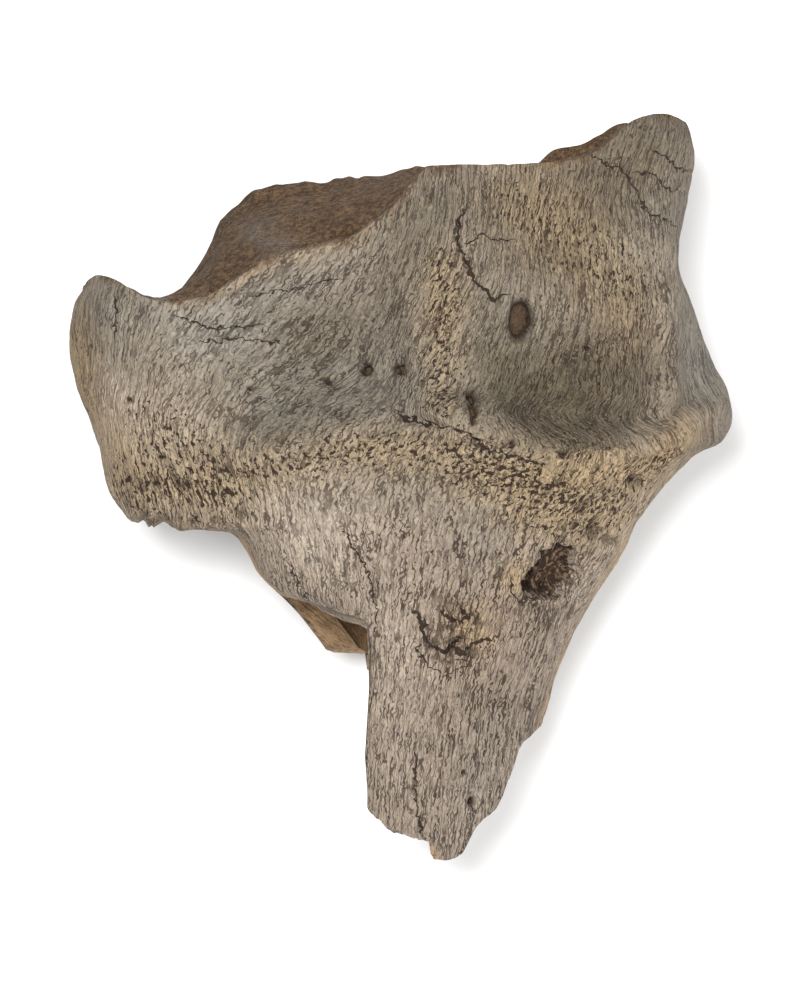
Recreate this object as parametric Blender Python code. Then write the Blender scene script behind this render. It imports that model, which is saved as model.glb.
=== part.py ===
"""Cow bone fragment: the end of a weathered leg bone, broken off across the shaft.

The bone lies on its crest with the hollowed rear face up.  X runs across the wide
end, Y runs from the broken shaft (-) to the joint end (+), Z is up.
All sizes below are millimetres; the mesh is written in metres.
"""
import math

import bmesh
import bpy
import numpy as np
from mathutils import Matrix, Vector

MM = 0.001

# Grid of the loft
TOP_STEPS = 56
TONGUE_ROWS = 10
SHAFT_ROWS = 5
LOBE_ROWS = 4
NECK_ROWS = 8
END_ROWS = 14
CAP_ROWS = 6
MARROW_ROWS = 6
MARROW_END_ROWS = 3
BLIND_ROWS = 4
CURVE_SAMPLES = 2001

# Levels along the bone
SHOULDER = -21.0
SHOULDER_GAP = 1.5
NECK_LOW = -8.0
NECK_EDGE = -4.0
NECK_HIGH = 12.0
MARROW_TOP = -11.0
BLIND_END = -3.0

# Outline seen from above: half section stations as (y, x)
LEFT_SIDE = [(-62.0, -11.0), (-51.0, -11.2), (-41.5, -12.2), (-27.0, -12.2), (-23.4, -12.8), (-19.4, -14.5),
             (-18.4, -16.4), (-17.0, -19.8), (-13.7, -22.9), (-9.7, -24.8), (-7.4, -26.6), (-6.7, -29.0),
             (-5.8, -38.0), (-4.6, -43.4), (-1.8, -45.9), (10.2, -49.8), (17.4, -52.7), (24.6, -53.6),
             (29.4, -52.8), (33.0, -50.8), (60.0, -48.0)]
RIGHT_SIDE = [(-62.0, 15.0), (-37.8, 22.7), (-24.2, 27.8), (-9.0, 35.9), (-6.2, 37.2), (-1.8, 40.5),
              (3.0, 44.7), (5.4, 47.0), (7.8, 51.6), (11.4, 53.0), (15.0, 52.5), (19.8, 50.0),
              (29.4, 46.5), (36.6, 44.5), (53.4, 46.8), (58.2, 45.8), (62.0, 43.0)]
# Edge of the joint end as (x, y): where the grey face ends, and where the worn joint face ends
FACE_RIM = [(-54.0, 27.0), (-51.4, 32.1), (-48.2, 33.8), (-43.5, 31.8), (-40.6, 30.2), (-38.6, 29.7),
            (-32.2, 30.2), (-27.0, 32.6), (-21.7, 36.1), (-9.7, 39.3), (-1.7, 44.1), (1.7, 48.1),
            (4.2, 51.0), (11.0, 51.2), (20.6, 51.4), (24.0, 51.6), (27.9, 52.0), (31.1, 53.4), (34.5, 56.8),
            (37.0, 58.6), (41.4, 59.6), (45.8, 58.4)]
JOINT_EDGE = [(-54.0, 26.0), (-48.2, 31.6), (-38.6, 29.4), (-34.2, 34.0), (-31.1, 39.0), (-29.2, 43.8),
              (-25.8, 46.4), (-22.4, 48.6), (-10.6, 49.9), (-3.4, 50.6), (1.4, 51.8), (11.0, 51.2),
              (20.6, 51.5), (23.2, 53.4), (26.6, 54.9), (29.2, 55.8), (33.0, 57.4), (37.0, 58.6), (41.4, 58.4),
              (45.8, 57.0)]
# Broken edges as (x, y): the upper wall with its long tongue, and the lower wall
UPPER_BREAK = [(-22.0, -16.5), (-15.0, -18.6), (-12.6, -19.9), (-9.4, -21.2), (-5.3, -22.7),
               (-5.5, -51.1), (-3.4, -53.2), (-1.4, -55.0), (1.8, -55.8), (3.8, -56.2), (4.8, -56.4),
               (5.7, -58.2), (7.0, -59.6), (9.4, -58.6), (10.5, -56.8), (11.7, -54.6), (13.2, -52.8),
               (15.2, -51.3), (16.3, -48.8), (16.8, -46.7), (17.8, -44.6), (18.8, -41.7), (20.6, -40.2),
               (23.7, -37.4), (28.0, -36.0)]
LOWER_BREAK = [(-22.0, -17.6), (-12.2, -26.0), (-10.0, -26.8), (-8.0, -25.5), (-6.4, -24.9), (-5.6, -30.0),
               (8.0, -31.0), (22.6, -37.8), (28.0, -36.0)]

# Heights of the upper face along the bone as (y, z)
CREST_LINE = [(-62.0, 40.5), (-27.0, 47.0), (-2.0, 53.0), (12.0, 53.5), (30.0, 52.0), (50.0, 51.0),
              (62.0, 50.0)]
# Heights of the lower face along the bone as (y, z)
KEEL_LINE = [(-62.0, 3.0), (-27.0, 2.0), (-5.0, 5.0), (12.0, 9.0), (60.0, 11.0)]
# Height of the widest line round the bone as (y, z)
WAIST_LINE = [(-62.0, 24.0), (-20.0, 24.0), (5.0, 31.0), (60.0, 33.0)]
# How square the upper left, the upper right and the lower half of the section are as (y, power)
LEFT_SQUARE = [(-62.0, 2.2), (-30.0, 2.4), (-20.0, 4.5), (-8.0, 6.0), (-4.0, 5.0), (6.0, 3.6), (60.0, 3.8)]
RIGHT_SQUARE = [(-62.0, 2.2), (-20.0, 2.4), (5.0, 3.4), (60.0, 3.8)]
LOWER_SQUARE = [(-62.0, 2.2), (-20.0, 2.4), (5.0, 2.7), (60.0, 3.0)]
# Half section that spaces the columns: power of its curve and height over half width
SPACING_POWER = 3.0
SPACING_HEIGHT = 0.5

# Ridges of the upper face: points along the ridge, height, half width
RIDGES = [
    ([(8.0, 10.8), (15.0, 8.0), (22.2, 4.8), (31.8, 2.4), (39.8, 5.4), (46.2, 9.4)], 5.5, 4.2),
    ([(-34.0, 3.0), (-18.0, 5.0), (-4.0, 9.0), (8.0, 10.8)], 2.0, 4.5),
    ([(4.6, 31.0), (6.2, 11.0)], 2.2, 4.8),
    ([(45.0, 41.4), (41.2, 25.4), (40.6, 14.2), (38.2, 7.0)], 4.5, 4.0),
    ([(-47.4, 29.0), (-46.6, 14.2), (-40.2, -1.8)], 4.5, 7.0),
    ([(41.0, 52.0), (43.0, 46.0)], 6.5, 9.0),
    ([(7.8, 38.0), (10.0, 42.0)], 2.5, 8.0),
]
# Hollows of the upper face: centre, depth, half length, half width, turn of the long axis
HOLLOWS = [
    ((27.0, 15.8), 9.5, 11.5, 8.5, math.radians(25.0)),
    ((-11.4, 19.8), 8.5, 17.0, 8.5, math.radians(-14.0)),
    ((25.4, 41.4), 2.6, 9.0, 8.0, 0.0),
    ((50.5, 21.0), 9.0, 7.5, 5.0, math.radians(-65.0)),
]
# Swellings of the lower face: centre, depth, half length, half width, turn
SWELLINGS = [
    ((2.0, 24.0), 12.5, 22.0, 17.0, math.radians(80.0)),
    ((-38.0, 14.0), 5.0, 10.0, 8.0, 0.0),
    ((36.0, 18.0), 7.0, 12.0, 10.0, 0.0),
    ((-20.0, 8.0), -6.0, 12.0, 8.0, math.radians(60.0)),
    ((6.0, -24.0), 4.0, 16.0, 8.0, math.radians(90.0)),
]
FLAT_LEVEL = 0.0

# Joint end
JOINT_LEVEL_LEFT = 23.0
JOINT_LEVEL_RIGHT = 31.0
JOINT_STEP_X = 4.0
JOINT_STEP_WIDTH = 3.0
JOINT_BULGE = 2.2
BULGE_END_X = 1.0
BULGE_OUT = 0.6
BULGE_UP = 0.8
BULGE_DOWN = -0.3
LOBE_LEVEL = 36.0
LOBE_X = -37.0
LOBE_WIDTH = 1.6
UNDERCUT = 9.0
SIDE_POWER = 4

# Broken wall
WALL_AT_BREAK = 5.4
BLIND_WIDTH = 0.55

# Hollows cut into the upper face: centre x and y, half sizes across, along and deep, sink of the centre
OVAL_HOLE = (19.1, 26.2, 2.3, 3.9, 4.2)
ROUND_HOLES = [(-5.8, 18.8, 1.0, 1.0, 2.6), (-0.2, 18.8, 1.0, 1.0, 2.6), (11.3, 14.6, 1.1, 1.1, 3.2)]
RAGGED_PIT = (23.9, -13.2, 4.4, 3.4, 5.0)
PIT_SEGMENTS = 12
PIT_RINGS = 8

BONE_COLOUR = (0.42, 0.38, 0.32, 1.0)
BONE_ROUGHNESS = 0.85


def stations(points, value):
    """Smooth curve through the points, flat where the points turn."""
    px = np.array([p[0] for p in points], float)
    py = np.array([p[1] for p in points], float)
    value = np.clip(value, px[0], px[-1])
    step = np.diff(px)
    grade = np.diff(py) / step
    slope = np.zeros(len(px))
    same = grade[1:] * grade[:-1] > 0
    harmonic = 2.0 * grade[1:] * grade[:-1] / np.where(same, grade[1:] + grade[:-1], 1.0)
    slope[1:-1] = np.where(same, harmonic, 0.0)
    slope[0] = grade[0]
    slope[-1] = grade[-1]
    k = np.clip(np.searchsorted(px, value, side="right") - 1, 0, len(step) - 1)
    t = (value - px[k]) / step[k]
    h00 = (1.0 + 2.0 * t) * (1.0 - t) ** 2
    h10 = t * (1.0 - t) ** 2
    h01 = t * t * (3.0 - 2.0 * t)
    h11 = t * t * (t - 1.0)
    return h00 * py[k] + h10 * step[k] * slope[k] + h01 * py[k + 1] + h11 * step[k] * slope[k + 1]


def ridge(x, y, line, width):
    """Bell section along a line of points, 1 on the line."""
    nearest = np.full(np.shape(x), 1e9)
    for (ax, ay), (bx, by) in zip(line, line[1:]):
        dx, dy = bx - ax, by - ay
        s = np.clip(((x - ax) * dx + (y - ay) * dy) / (dx * dx + dy * dy), 0.0, 1.0)
        nearest = np.minimum(nearest, (x - ax - s * dx) ** 2 + (y - ay - s * dy) ** 2)
    return np.exp(-nearest / (width * width))


def bowl(x, y, centre, half_length, half_width, turn):
    """Oval bell, 1 at its centre."""
    c, s = math.cos(turn), math.sin(turn)
    dx, dy = x - centre[0], y - centre[1]
    u = (dx * c + dy * s) / half_length
    v = (-dx * s + dy * c) / half_width
    return np.exp(-(u * u + v * v))


def upper_height(x, y):
    """Height of the upper face: crest line, ridges and hollows."""
    z = stations(CREST_LINE, y)
    z = z + sum((height * ridge(x, y, line, width)) ** 3 for line, height, width in RIDGES) ** (1.0 / 3.0)
    for centre, depth, half_length, half_width, turn in HOLLOWS:
        z = z - depth * bowl(x, y, centre, half_length, half_width, turn)
    return z


def lower_height(x, y):
    """Height of the lower face, worn level where it touches the ground."""
    z = stations(KEEL_LINE, y)
    for centre, depth, half_length, half_width, turn in SWELLINGS:
        z = z - depth * bowl(x, y, centre, half_length, half_width, turn)
    return np.maximum(z, FLAT_LEVEL)


def across(a, y, inset=0.0):
    """X of the column a (-1 left side, 1 right side) at the level y."""
    left = stations(LEFT_SIDE, y) + inset
    right = stations(RIGHT_SIDE, y) - inset
    return left + (right - left) * (a + 1.0) / 2.0


def meet(a, line):
    """Level at which each column crosses a line of (x, y) points."""
    by_column = []
    for px, py in line:
        left = float(stations(LEFT_SIDE, py))
        right = float(stations(RIGHT_SIDE, py))
        by_column.append((2.0 * (px - left) / (right - left) - 1.0, py))
    return stations(by_column, a)


def columns():
    """Columns evenly spaced round half the section, from the left side to the right."""
    t = np.linspace(math.pi, 0.0, CURVE_SAMPLES)
    power = 2.0 / SPACING_POWER
    a = np.sign(np.cos(t)) * np.abs(np.cos(t)) ** power
    h = SPACING_HEIGHT * np.sin(t) ** power
    run = np.concatenate([[0.0], np.cumsum(np.hypot(np.diff(a), np.diff(h)))])
    return np.interp(np.linspace(0.0, run[-1], TOP_STEPS + 1), run, a)


def section(a, y, upper, inset=0.0):
    """Points of the section at the level y: x, y, z for each column."""
    x = across(a, y, inset)
    waist = stations(WAIST_LINE, y)
    power = np.where(a < 0.0, stations(LEFT_SQUARE, y), stations(RIGHT_SQUARE, y))
    power = np.where(upper, power, stations(LOWER_SQUARE, y))
    lift = (1.0 - np.minimum(np.abs(a), 1.0) ** power) ** (1.0 / power)
    top = upper_height(x, y) - inset
    low = lower_height(x, y) + inset
    z = waist + lift * np.where(upper, top - waist, low - waist)
    return np.stack([x, np.broadcast_to(y, np.shape(x)), z], axis=-1)


def levels(stops, counts):
    """Rows through a list of levels for each column, with the given number of rows to each next level."""
    out = [stops[0][None, :]]
    for start, stop, count in zip(stops, stops[1:], counts):
        k = np.arange(1, count + 1)[:, None] / count
        out.append(start + (stop - start) * k)
    return np.concatenate(out)


def rise(value, middle, width):
    """Smooth rise from 0 to 1 about the middle."""
    return 1.0 / (1.0 + np.exp((middle - value) / width))


def joint_cap(rim, edge_x, joint_y, side, upper):
    """Rings of the worn joint face, from its far edge to the ring where the outside begins."""
    step = rise(edge_x, JOINT_STEP_X, JOINT_STEP_WIDTH)
    joint_z = JOINT_LEVEL_LEFT + (JOINT_LEVEL_RIGHT - JOINT_LEVEL_LEFT) * step
    joint_z = joint_z + (LOBE_LEVEL - joint_z) * rise(-edge_x, -LOBE_X, LOBE_WIDTH)
    seam = np.stack([edge_x, joint_y, joint_z], axis=-1)
    q = np.linspace(1.0, 0.0, CAP_ROWS + 1)[:-1, None, None]
    cap = rim[None] * (1.0 - q) + seam[None] * q
    height = JOINT_BULGE * (1.0 - side) * rise(-edge_x, -BULGE_END_X, 1.0)
    swell = np.sin(math.pi * q[..., 0]) * height[None, :]
    cap[..., 1] += BULGE_OUT * swell
    cap[..., 2] += np.where(upper[None, :], BULGE_UP, BULGE_DOWN) * swell
    return cap


def blind_end(last):
    """Rings that round off the marrow hollow beyond its last ring."""
    f = (np.arange(1, BLIND_ROWS + 1) / BLIND_ROWS * math.pi / 2.0)[:, None]
    close = np.cos(f)
    y = MARROW_TOP + (BLIND_END - MARROW_TOP) * np.sin(f)
    waist = stations(WAIST_LINE, y)
    centre = (last[:, 0].max() + last[:, 0].min()) / 2.0
    x = centre + (last[None, :, 0] - centre) * (BLIND_WIDTH + (1.0 - BLIND_WIDTH) * close)
    z = waist + (last[None, :, 2] - waist) * close
    return np.stack([x, np.broadcast_to(y, x.shape), z], axis=-1)


def bone_grid():
    """All rings of the bone, from the joint end over the outside to the blind end of the hollow."""
    half = columns()
    a = np.concatenate([half, half[-3:1:-2]])
    upper = np.arange(len(a)) <= TOP_STEPS

    side = np.abs(a) ** SIDE_POWER
    rim_up = meet(a, FACE_RIM)
    edge_x = across(a, rim_up)
    joint_y = stations(JOINT_EDGE, edge_x)
    rim_low = joint_y - UNDERCUT * (1.0 - side)
    rim_low = rim_low + (rim_up - rim_low) * side
    rim = np.where(upper, rim_up, rim_low)
    broken = np.where(upper & (a > -1.0), meet(a, UPPER_BREAK), meet(a, LOWER_BREAK))
    shoulder = np.maximum(broken + SHOULDER_GAP, SHOULDER)

    neck = [np.full_like(broken, level) for level in (NECK_LOW, NECK_EDGE, NECK_HIGH)]
    rows = (TONGUE_ROWS, SHAFT_ROWS, LOBE_ROWS, NECK_ROWS, END_ROWS)
    outside = levels([broken, shoulder, *neck, rim], rows)
    outer = section(a[None, :], outside, upper[None, :])[::-1]
    cap = joint_cap(outer[0], edge_x, joint_y, side, upper)

    top = np.full_like(broken, MARROW_TOP)
    inside = levels([broken, shoulder, top], (MARROW_ROWS, MARROW_END_ROWS))
    marrow = section(a[None, :], inside, upper[None, :], WALL_AT_BREAK)
    return np.concatenate([cap, outer, marrow, blind_end(marrow[-1])])


def footprint_centre(grid):
    """Middle of the grid's bounding box, on the level it rests on."""
    points = grid.reshape(-1, 3)
    low, high = points.min(axis=0), points.max(axis=0)
    return np.array([(low[0] + high[0]) / 2.0, (low[1] + high[1]) / 2.0, low[2]])


def zip_ring(faces, ring, last, around, steps, inward):
    """Close a ring onto its seam, the upper and the lower half sharing the seam points."""
    low = list(range(steps + 1, around))
    seam_low = list(range(steps - 2, 0, -2))
    for i in range(steps):
        quad = [ring + i, ring + i + 1, last + i + 1, last + i]
        faces.append(quad[::-1] if inward else quad)
    lower_ring = [steps] + low + [0]
    lower_seam = [steps] + seam_low + [0]
    for k in range(len(lower_ring) - 1):
        s0, s1 = lower_seam[k], lower_seam[k + 1]
        poly = [ring + lower_ring[k], ring + lower_ring[k + 1], last + s1, last + s1 + 1, last + s0]
        faces.append(poly[::-1] if inward else poly)


def bone_mesh(grid):
    """Closed loft of the rings, zipped shut at the joint end and at the blind end."""
    rings, around = grid.shape[:2]
    verts = []
    start = []
    for r in range(rings):
        start.append(len(verts))
        closed = r in (0, rings - 1)
        row = grid[r][:TOP_STEPS + 1] if closed else grid[r]
        verts.extend(tuple(p) for p in row)
    faces = []
    zip_ring(faces, start[1], start[0], around, TOP_STEPS, False)
    for r in range(1, rings - 2):
        for i in range(around):
            j = (i + 1) % around
            faces.append((start[r] + i, start[r + 1] + i, start[r + 1] + j, start[r] + j))
    zip_ring(faces, start[rings - 2], start[rings - 1], around, TOP_STEPS, True)
    mesh = bpy.data.meshes.new("bone")
    mesh.from_pydata(verts, [], faces)
    mesh.validate()
    mesh.update()
    return mesh


def bone_material():
    """Weathered grey bone."""
    mat = bpy.data.materials.new("weathered_bone")
    mat.use_nodes = True
    shader = mat.node_tree.nodes["Principled BSDF"]
    shader.inputs["Base Color"].default_value = BONE_COLOUR
    shader.inputs["Roughness"].default_value = BONE_ROUGHNESS
    mat.diffuse_color = BONE_COLOUR
    return mat


def pit_cutter(name, pit, centre, collection):
    """Ellipsoid sunk into the upper face by half its depth."""
    x, y, half_x, half_y, depth = pit
    top = float(upper_height(np.array(x), np.array(y)))
    place = (np.array([x, y, top]) - centre) * MM
    bm = bmesh.new()
    bmesh.ops.create_uvsphere(bm, u_segments=PIT_SEGMENTS, v_segments=PIT_RINGS, radius=1.0)
    scale = Matrix.Diagonal(Vector((half_x * MM, half_y * MM, depth * MM, 1.0)))
    bmesh.ops.transform(bm, matrix=scale, verts=bm.verts)
    mesh = bpy.data.meshes.new(name)
    bm.to_mesh(mesh)
    bm.free()
    cutter = bpy.data.objects.new(name, mesh)
    cutter.location = place
    cutter.hide_render = True
    cutter.display_type = "WIRE"
    collection.objects.link(cutter)
    return cutter


def cut(target, cutter):
    """Take the cutter out of the target."""
    mod = target.modifiers.new("cut_" + cutter.name, "BOOLEAN")
    mod.operation = "DIFFERENCE"
    mod.solver = "EXACT"
    mod.object = cutter


def clear_scene():
    """Remove all objects of the scene."""
    for item in list(bpy.data.objects):
        bpy.data.objects.remove(item, do_unlink=True)


def new_collection(name):
    """Collection linked to the scene."""
    collection = bpy.data.collections.new(name)
    bpy.context.scene.collection.children.link(collection)
    return collection


def main():
    clear_scene()
    parts = new_collection("cow_bone_fragment")
    cutters = new_collection("cutters")
    grid = bone_grid()
    centre = footprint_centre(grid)
    bone = bpy.data.objects.new("bone", bone_mesh((grid - centre) * MM))
    bone.data.materials.append(bone_material())
    parts.objects.link(bone)
    cut(bone, pit_cutter("oval_hole", OVAL_HOLE, centre, cutters))
    cut(bone, pit_cutter("ragged_pit", RAGGED_PIT, centre, cutters))
    for number, hole in enumerate(ROUND_HOLES, 1):
        cut(bone, pit_cutter(f"round_hole_{number}", hole, centre, cutters))


main()
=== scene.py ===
"""Cow bone fragment: the weathered joint end of a leg bone, broken across its shaft.

The skin is one closed loft.  X runs across the joint end, Y from the broken shaft to the
joint end, Z up.  Sizes are millimetres unless a comment or a property says otherwise.
"""
import math

import bpy
import numpy as np
from bpy.props import FloatProperty, FloatVectorProperty, IntProperty, PointerProperty
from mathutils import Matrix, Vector


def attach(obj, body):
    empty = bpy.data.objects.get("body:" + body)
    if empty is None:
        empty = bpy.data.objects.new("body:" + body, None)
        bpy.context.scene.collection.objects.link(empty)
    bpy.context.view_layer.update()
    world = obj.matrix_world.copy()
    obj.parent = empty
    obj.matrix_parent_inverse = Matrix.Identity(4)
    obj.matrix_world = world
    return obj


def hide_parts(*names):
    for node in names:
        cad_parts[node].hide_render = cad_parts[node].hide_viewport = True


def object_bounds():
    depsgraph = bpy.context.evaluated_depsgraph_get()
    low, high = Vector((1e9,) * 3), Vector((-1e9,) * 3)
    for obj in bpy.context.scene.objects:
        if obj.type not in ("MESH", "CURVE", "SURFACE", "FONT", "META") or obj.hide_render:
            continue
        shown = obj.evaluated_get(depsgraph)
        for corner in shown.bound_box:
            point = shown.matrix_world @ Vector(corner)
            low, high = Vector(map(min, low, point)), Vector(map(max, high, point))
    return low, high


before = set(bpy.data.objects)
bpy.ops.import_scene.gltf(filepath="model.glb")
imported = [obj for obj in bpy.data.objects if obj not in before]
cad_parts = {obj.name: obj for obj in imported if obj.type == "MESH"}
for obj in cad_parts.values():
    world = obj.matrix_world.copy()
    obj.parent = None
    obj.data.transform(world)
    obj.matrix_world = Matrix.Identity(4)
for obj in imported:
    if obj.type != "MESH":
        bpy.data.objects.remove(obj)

bl_info = {
    "name": "Cow bone fragment",
    "version": (1, 0, 0),
    "blender": (4, 5, 0),
    "location": "View3D > Sidebar > Bone",
    "description": "Builds a weathered piece of leg bone on a pale floor",
    "category": "Object",
}

MM = 0.001
CAD_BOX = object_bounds()
# Middle of the footprint in the outline's own millimetres
HOME = np.array([-0.303, 0.010, 0.0])

# Rows of faces: from the broken edge to the joint rim, joint face, broken edge, marrow side, blind end
OUTSIDE_ROWS = (52, 26, 16, 32, 64)
JOINT_ROWS = 24
LIP_ROWS = 7
MARROW_ROWS = (20, 10)
BLIND_ROWS = 10
# Columns above for one column below
COLUMN_RATIO = 3
# Turn between two faces, in degrees, past which their edge is shaded sharp
SHARP_TURN = 62.0

# Levels along the bone
SHOULDER = -21.0
SHOULDER_GAP = 1.5
NECK_LOW = -8.0
NECK_EDGE = -4.0
NECK_HIGH = 12.0
MARROW_TOP = -11.0
BLIND_END = -3.0

# Outline seen from above as (y, x)
LEFT_SIDE = [(-62.0, -11.0), (-51.0, -11.2), (-41.5, -12.2), (-27.0, -12.2), (-23.4, -12.8), (-19.4, -14.5),
             (-18.4, -16.4), (-17.0, -19.8), (-13.7, -22.9), (-9.7, -24.8), (-7.4, -26.6), (-6.7, -29.0),
             (-5.8, -38.0), (-4.6, -43.4), (-1.8, -45.9), (10.2, -49.8), (17.4, -52.7), (24.6, -53.6),
             (29.4, -52.8), (33.0, -50.8), (60.0, -48.0)]
RIGHT_SIDE = [(-62.0, 15.0), (-37.8, 22.7), (-24.2, 27.8), (-9.0, 35.9), (-6.2, 37.2), (-1.8, 40.5),
              (3.0, 44.7), (5.4, 47.0), (7.8, 51.6), (11.4, 53.0), (15.0, 52.5), (19.8, 50.0), (29.4, 46.5),
              (36.6, 44.5), (53.4, 46.8), (58.2, 45.8), (62.0, 43.0)]
# Joint end as (x, y): where the grey face ends, and where the worn joint face ends
FACE_RIM = [(-54.0, 27.0), (-51.4, 32.1), (-48.2, 33.8), (-43.5, 31.8), (-40.6, 30.2), (-38.6, 29.7),
            (-32.2, 30.2), (-27.0, 32.6), (-21.7, 36.1), (-9.7, 39.3), (-1.7, 44.1), (1.7, 48.1),
            (4.2, 51.0), (11.0, 51.2), (20.6, 51.4), (24.0, 51.6), (27.9, 52.0), (31.1, 53.4), (34.5, 56.8),
            (37.0, 58.6), (41.4, 59.6), (45.8, 58.4)]
JOINT_EDGE = [(-54.0, 26.0), (-48.2, 31.6), (-38.6, 29.4), (-34.2, 34.0), (-31.1, 39.0), (-29.2, 43.8),
              (-25.8, 46.4), (-22.4, 48.6), (-10.6, 49.9), (-3.4, 50.6), (1.4, 51.8), (11.0, 51.2),
              (20.6, 51.5), (23.2, 53.4), (26.6, 54.9), (29.2, 55.8), (33.0, 57.4), (37.0, 58.6),
              (41.4, 58.4), (45.8, 57.0)]
# Broken edges as (x, y)
UPPER_BREAK = [(-22.0, -16.5), (-15.0, -18.6), (-12.6, -19.9), (-9.4, -21.2), (-5.3, -22.7), (-5.5, -51.1),
               (-3.4, -53.2), (-1.4, -55.0), (1.8, -55.8), (3.8, -56.2), (4.8, -56.4), (5.7, -58.2),
               (7.0, -59.6), (9.4, -58.6), (10.5, -56.8), (11.7, -54.6), (13.2, -52.8), (15.2, -51.3),
               (16.3, -48.8), (16.8, -46.7), (17.8, -44.6), (18.8, -41.7), (20.6, -40.2), (23.7, -37.4),
               (28.0, -36.0)]
LOWER_BREAK = [(-22.0, -17.6), (-12.2, -26.0), (-10.0, -26.8), (-8.0, -25.5), (-6.4, -24.9), (-5.6, -30.0),
               (8.0, -31.0), (22.6, -37.8), (28.0, -36.0)]

# Heights along the bone as (y, z), and the power of the section as (y, power)
CREST_LINE = [(-62.0, 40.5), (-27.0, 47.0), (-2.0, 53.0), (12.0, 53.5), (30.0, 52.0), (50.0, 51.0),
              (62.0, 50.0)]
KEEL_LINE = [(-62.0, 3.0), (-27.0, 2.0), (-5.0, 5.0), (12.0, 9.0), (60.0, 11.0)]
WAIST_LINE = [(-62.0, 24.0), (-20.0, 24.0), (5.0, 31.0), (60.0, 33.0)]
LEFT_SQUARE = [(-62.0, 2.2), (-30.0, 2.4), (-20.0, 4.5), (-8.0, 6.0), (-4.0, 5.0), (6.0, 3.6), (60.0, 3.8)]
RIGHT_SQUARE = [(-62.0, 2.2), (-20.0, 2.4), (5.0, 3.4), (60.0, 3.8)]
LOWER_SQUARE = [(-62.0, 2.2), (-20.0, 2.4), (5.0, 2.7), (60.0, 3.0)]

# Ridges of the upper face: line, height, half width
RIDGES = [
    ([(8.0, 10.8), (15.0, 8.0), (22.2, 4.8), (31.8, 2.4), (39.8, 5.4), (46.2, 9.4)], 5.5, 4.2),
    ([(-34.0, 3.0), (-18.0, 5.0), (-4.0, 9.0), (8.0, 10.8)], 2.0, 4.5),
    ([(4.6, 31.0), (6.2, 11.0)], 2.2, 4.8),
    ([(45.0, 41.4), (41.2, 25.4), (40.6, 14.2), (38.2, 7.0)], 4.5, 4.0),
    ([(-47.4, 29.0), (-46.6, 14.2), (-40.2, -1.8)], 4.5, 7.0),
    ([(41.0, 52.0), (43.0, 46.0)], 6.5, 9.0),
    ([(7.8, 38.0), (10.0, 42.0)], 2.5, 8.0),
]
# Hollows of the upper face: centre, depth, half length, half width, turn in degrees
HOLLOWS = [
    ((27.0, 15.8), 9.5, 11.5, 8.5, 25.0),
    ((-11.4, 19.8), 8.5, 17.0, 8.5, -14.0),
    ((25.4, 41.4), 2.6, 9.0, 8.0, 0.0),
    ((50.5, 21.0), 9.0, 7.5, 5.0, -65.0),
]
# Swellings of the lower face
SWELLINGS = [
    ((2.0, 24.0), 12.5, 22.0, 17.0, 80.0),
    ((-38.0, 14.0), 5.0, 10.0, 8.0, 0.0),
    ((36.0, 18.0), 7.0, 12.0, 10.0, 0.0),
    ((-20.0, 8.0), -6.0, 12.0, 8.0, 60.0),
    ((6.0, -24.0), 4.0, 16.0, 8.0, 90.0),
]
# Two dishes and a bent groove of the joint face, with centres as (x, z)
JOINT_DISHES = [
    ((-22.0, 31.0), 1.5, 15.0, 9.0, 0.0),
    ((27.0, 31.0), 1.8, 14.0, 10.0, 0.0),
    ((2.0, 34.0), 0.9, 1.8, 16.0, 0.0),
    ((-2.0, 20.0), 0.8, 7.0, 2.0, 17.2),
]
JOINT_LEVEL_LEFT = 23.0
JOINT_LEVEL_RIGHT = 31.0
JOINT_LEVEL_LOBE = 36.0
JOINT_BULGE = 2.2
UNDERCUT = 9.0
WALL = 5.4
# Unevenness: size, height, seed
BREAK_TEETH = [(1.7, 0.14, 11), (0.8, 0.05, 12)]
JOINT_WEAR = [(3.1, 0.40, 13), (1.2, 0.20, 14)]
FACE_RELIEF = [(9.0, 0.40, 51), (4.3, 0.22, 52), (1.9, 0.10, 53), (1.0, 0.05, 54)]
JOINT_RELIEF = [(6.0, 0.30, 71), (2.0, 0.14, 72), (0.9, 0.10, 73)]
MARROW_RELIEF = [(5.0, 0.30, 81), (1.4, 0.10, 82)]
LIP_RELIEF = [(1.2, 0.12, 83)]
LIP_GRAIN = [(1.1, 0.30, 21)]

# Growth line: the face above it stands a little over the porous band below
LEDGE = [(-30.3, -1.4), (-24.2, 3.0), (-16.2, 5.8), (-8.2, 7.8), (-2.6, 10.2), (0.6, 12.1), (6.2, 10.3),
         (11.0, 8.4), (15.8, 7.0), (20.6, 4.6), (25.4, 4.1), (31.8, 4.2), (38.2, 5.4), (42.2, 7.8)]
LEDGE_HEIGHT = 0.9
# Sharp crests that ride on the broad ridges: line, height, half width
CRESTS = [
    ([(24.0, 3.4), (28.0, 3.4), (33.0, 4.3), (38.2, 5.8), (42.2, 8.2), (46.5, 11.0),
      (50.5, 13.0)], 1.3, 1.5),
    ([(41.0, 30.0), (42.6, 22.0), (42.0, 15.0), (44.5, 9.5)], 1.5, 2.2),
    ([(-2.0, 34.0), (2.0, 24.0), (3.6, 14.0)], 0.9, 2.4),
    ([(10.6, 34.0), (13.0, 22.0), (14.0, 13.0)], 0.7, 2.0),
]
LEDGE_REACH = 6.0
DITCH_DEPTH = 0.5

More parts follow.
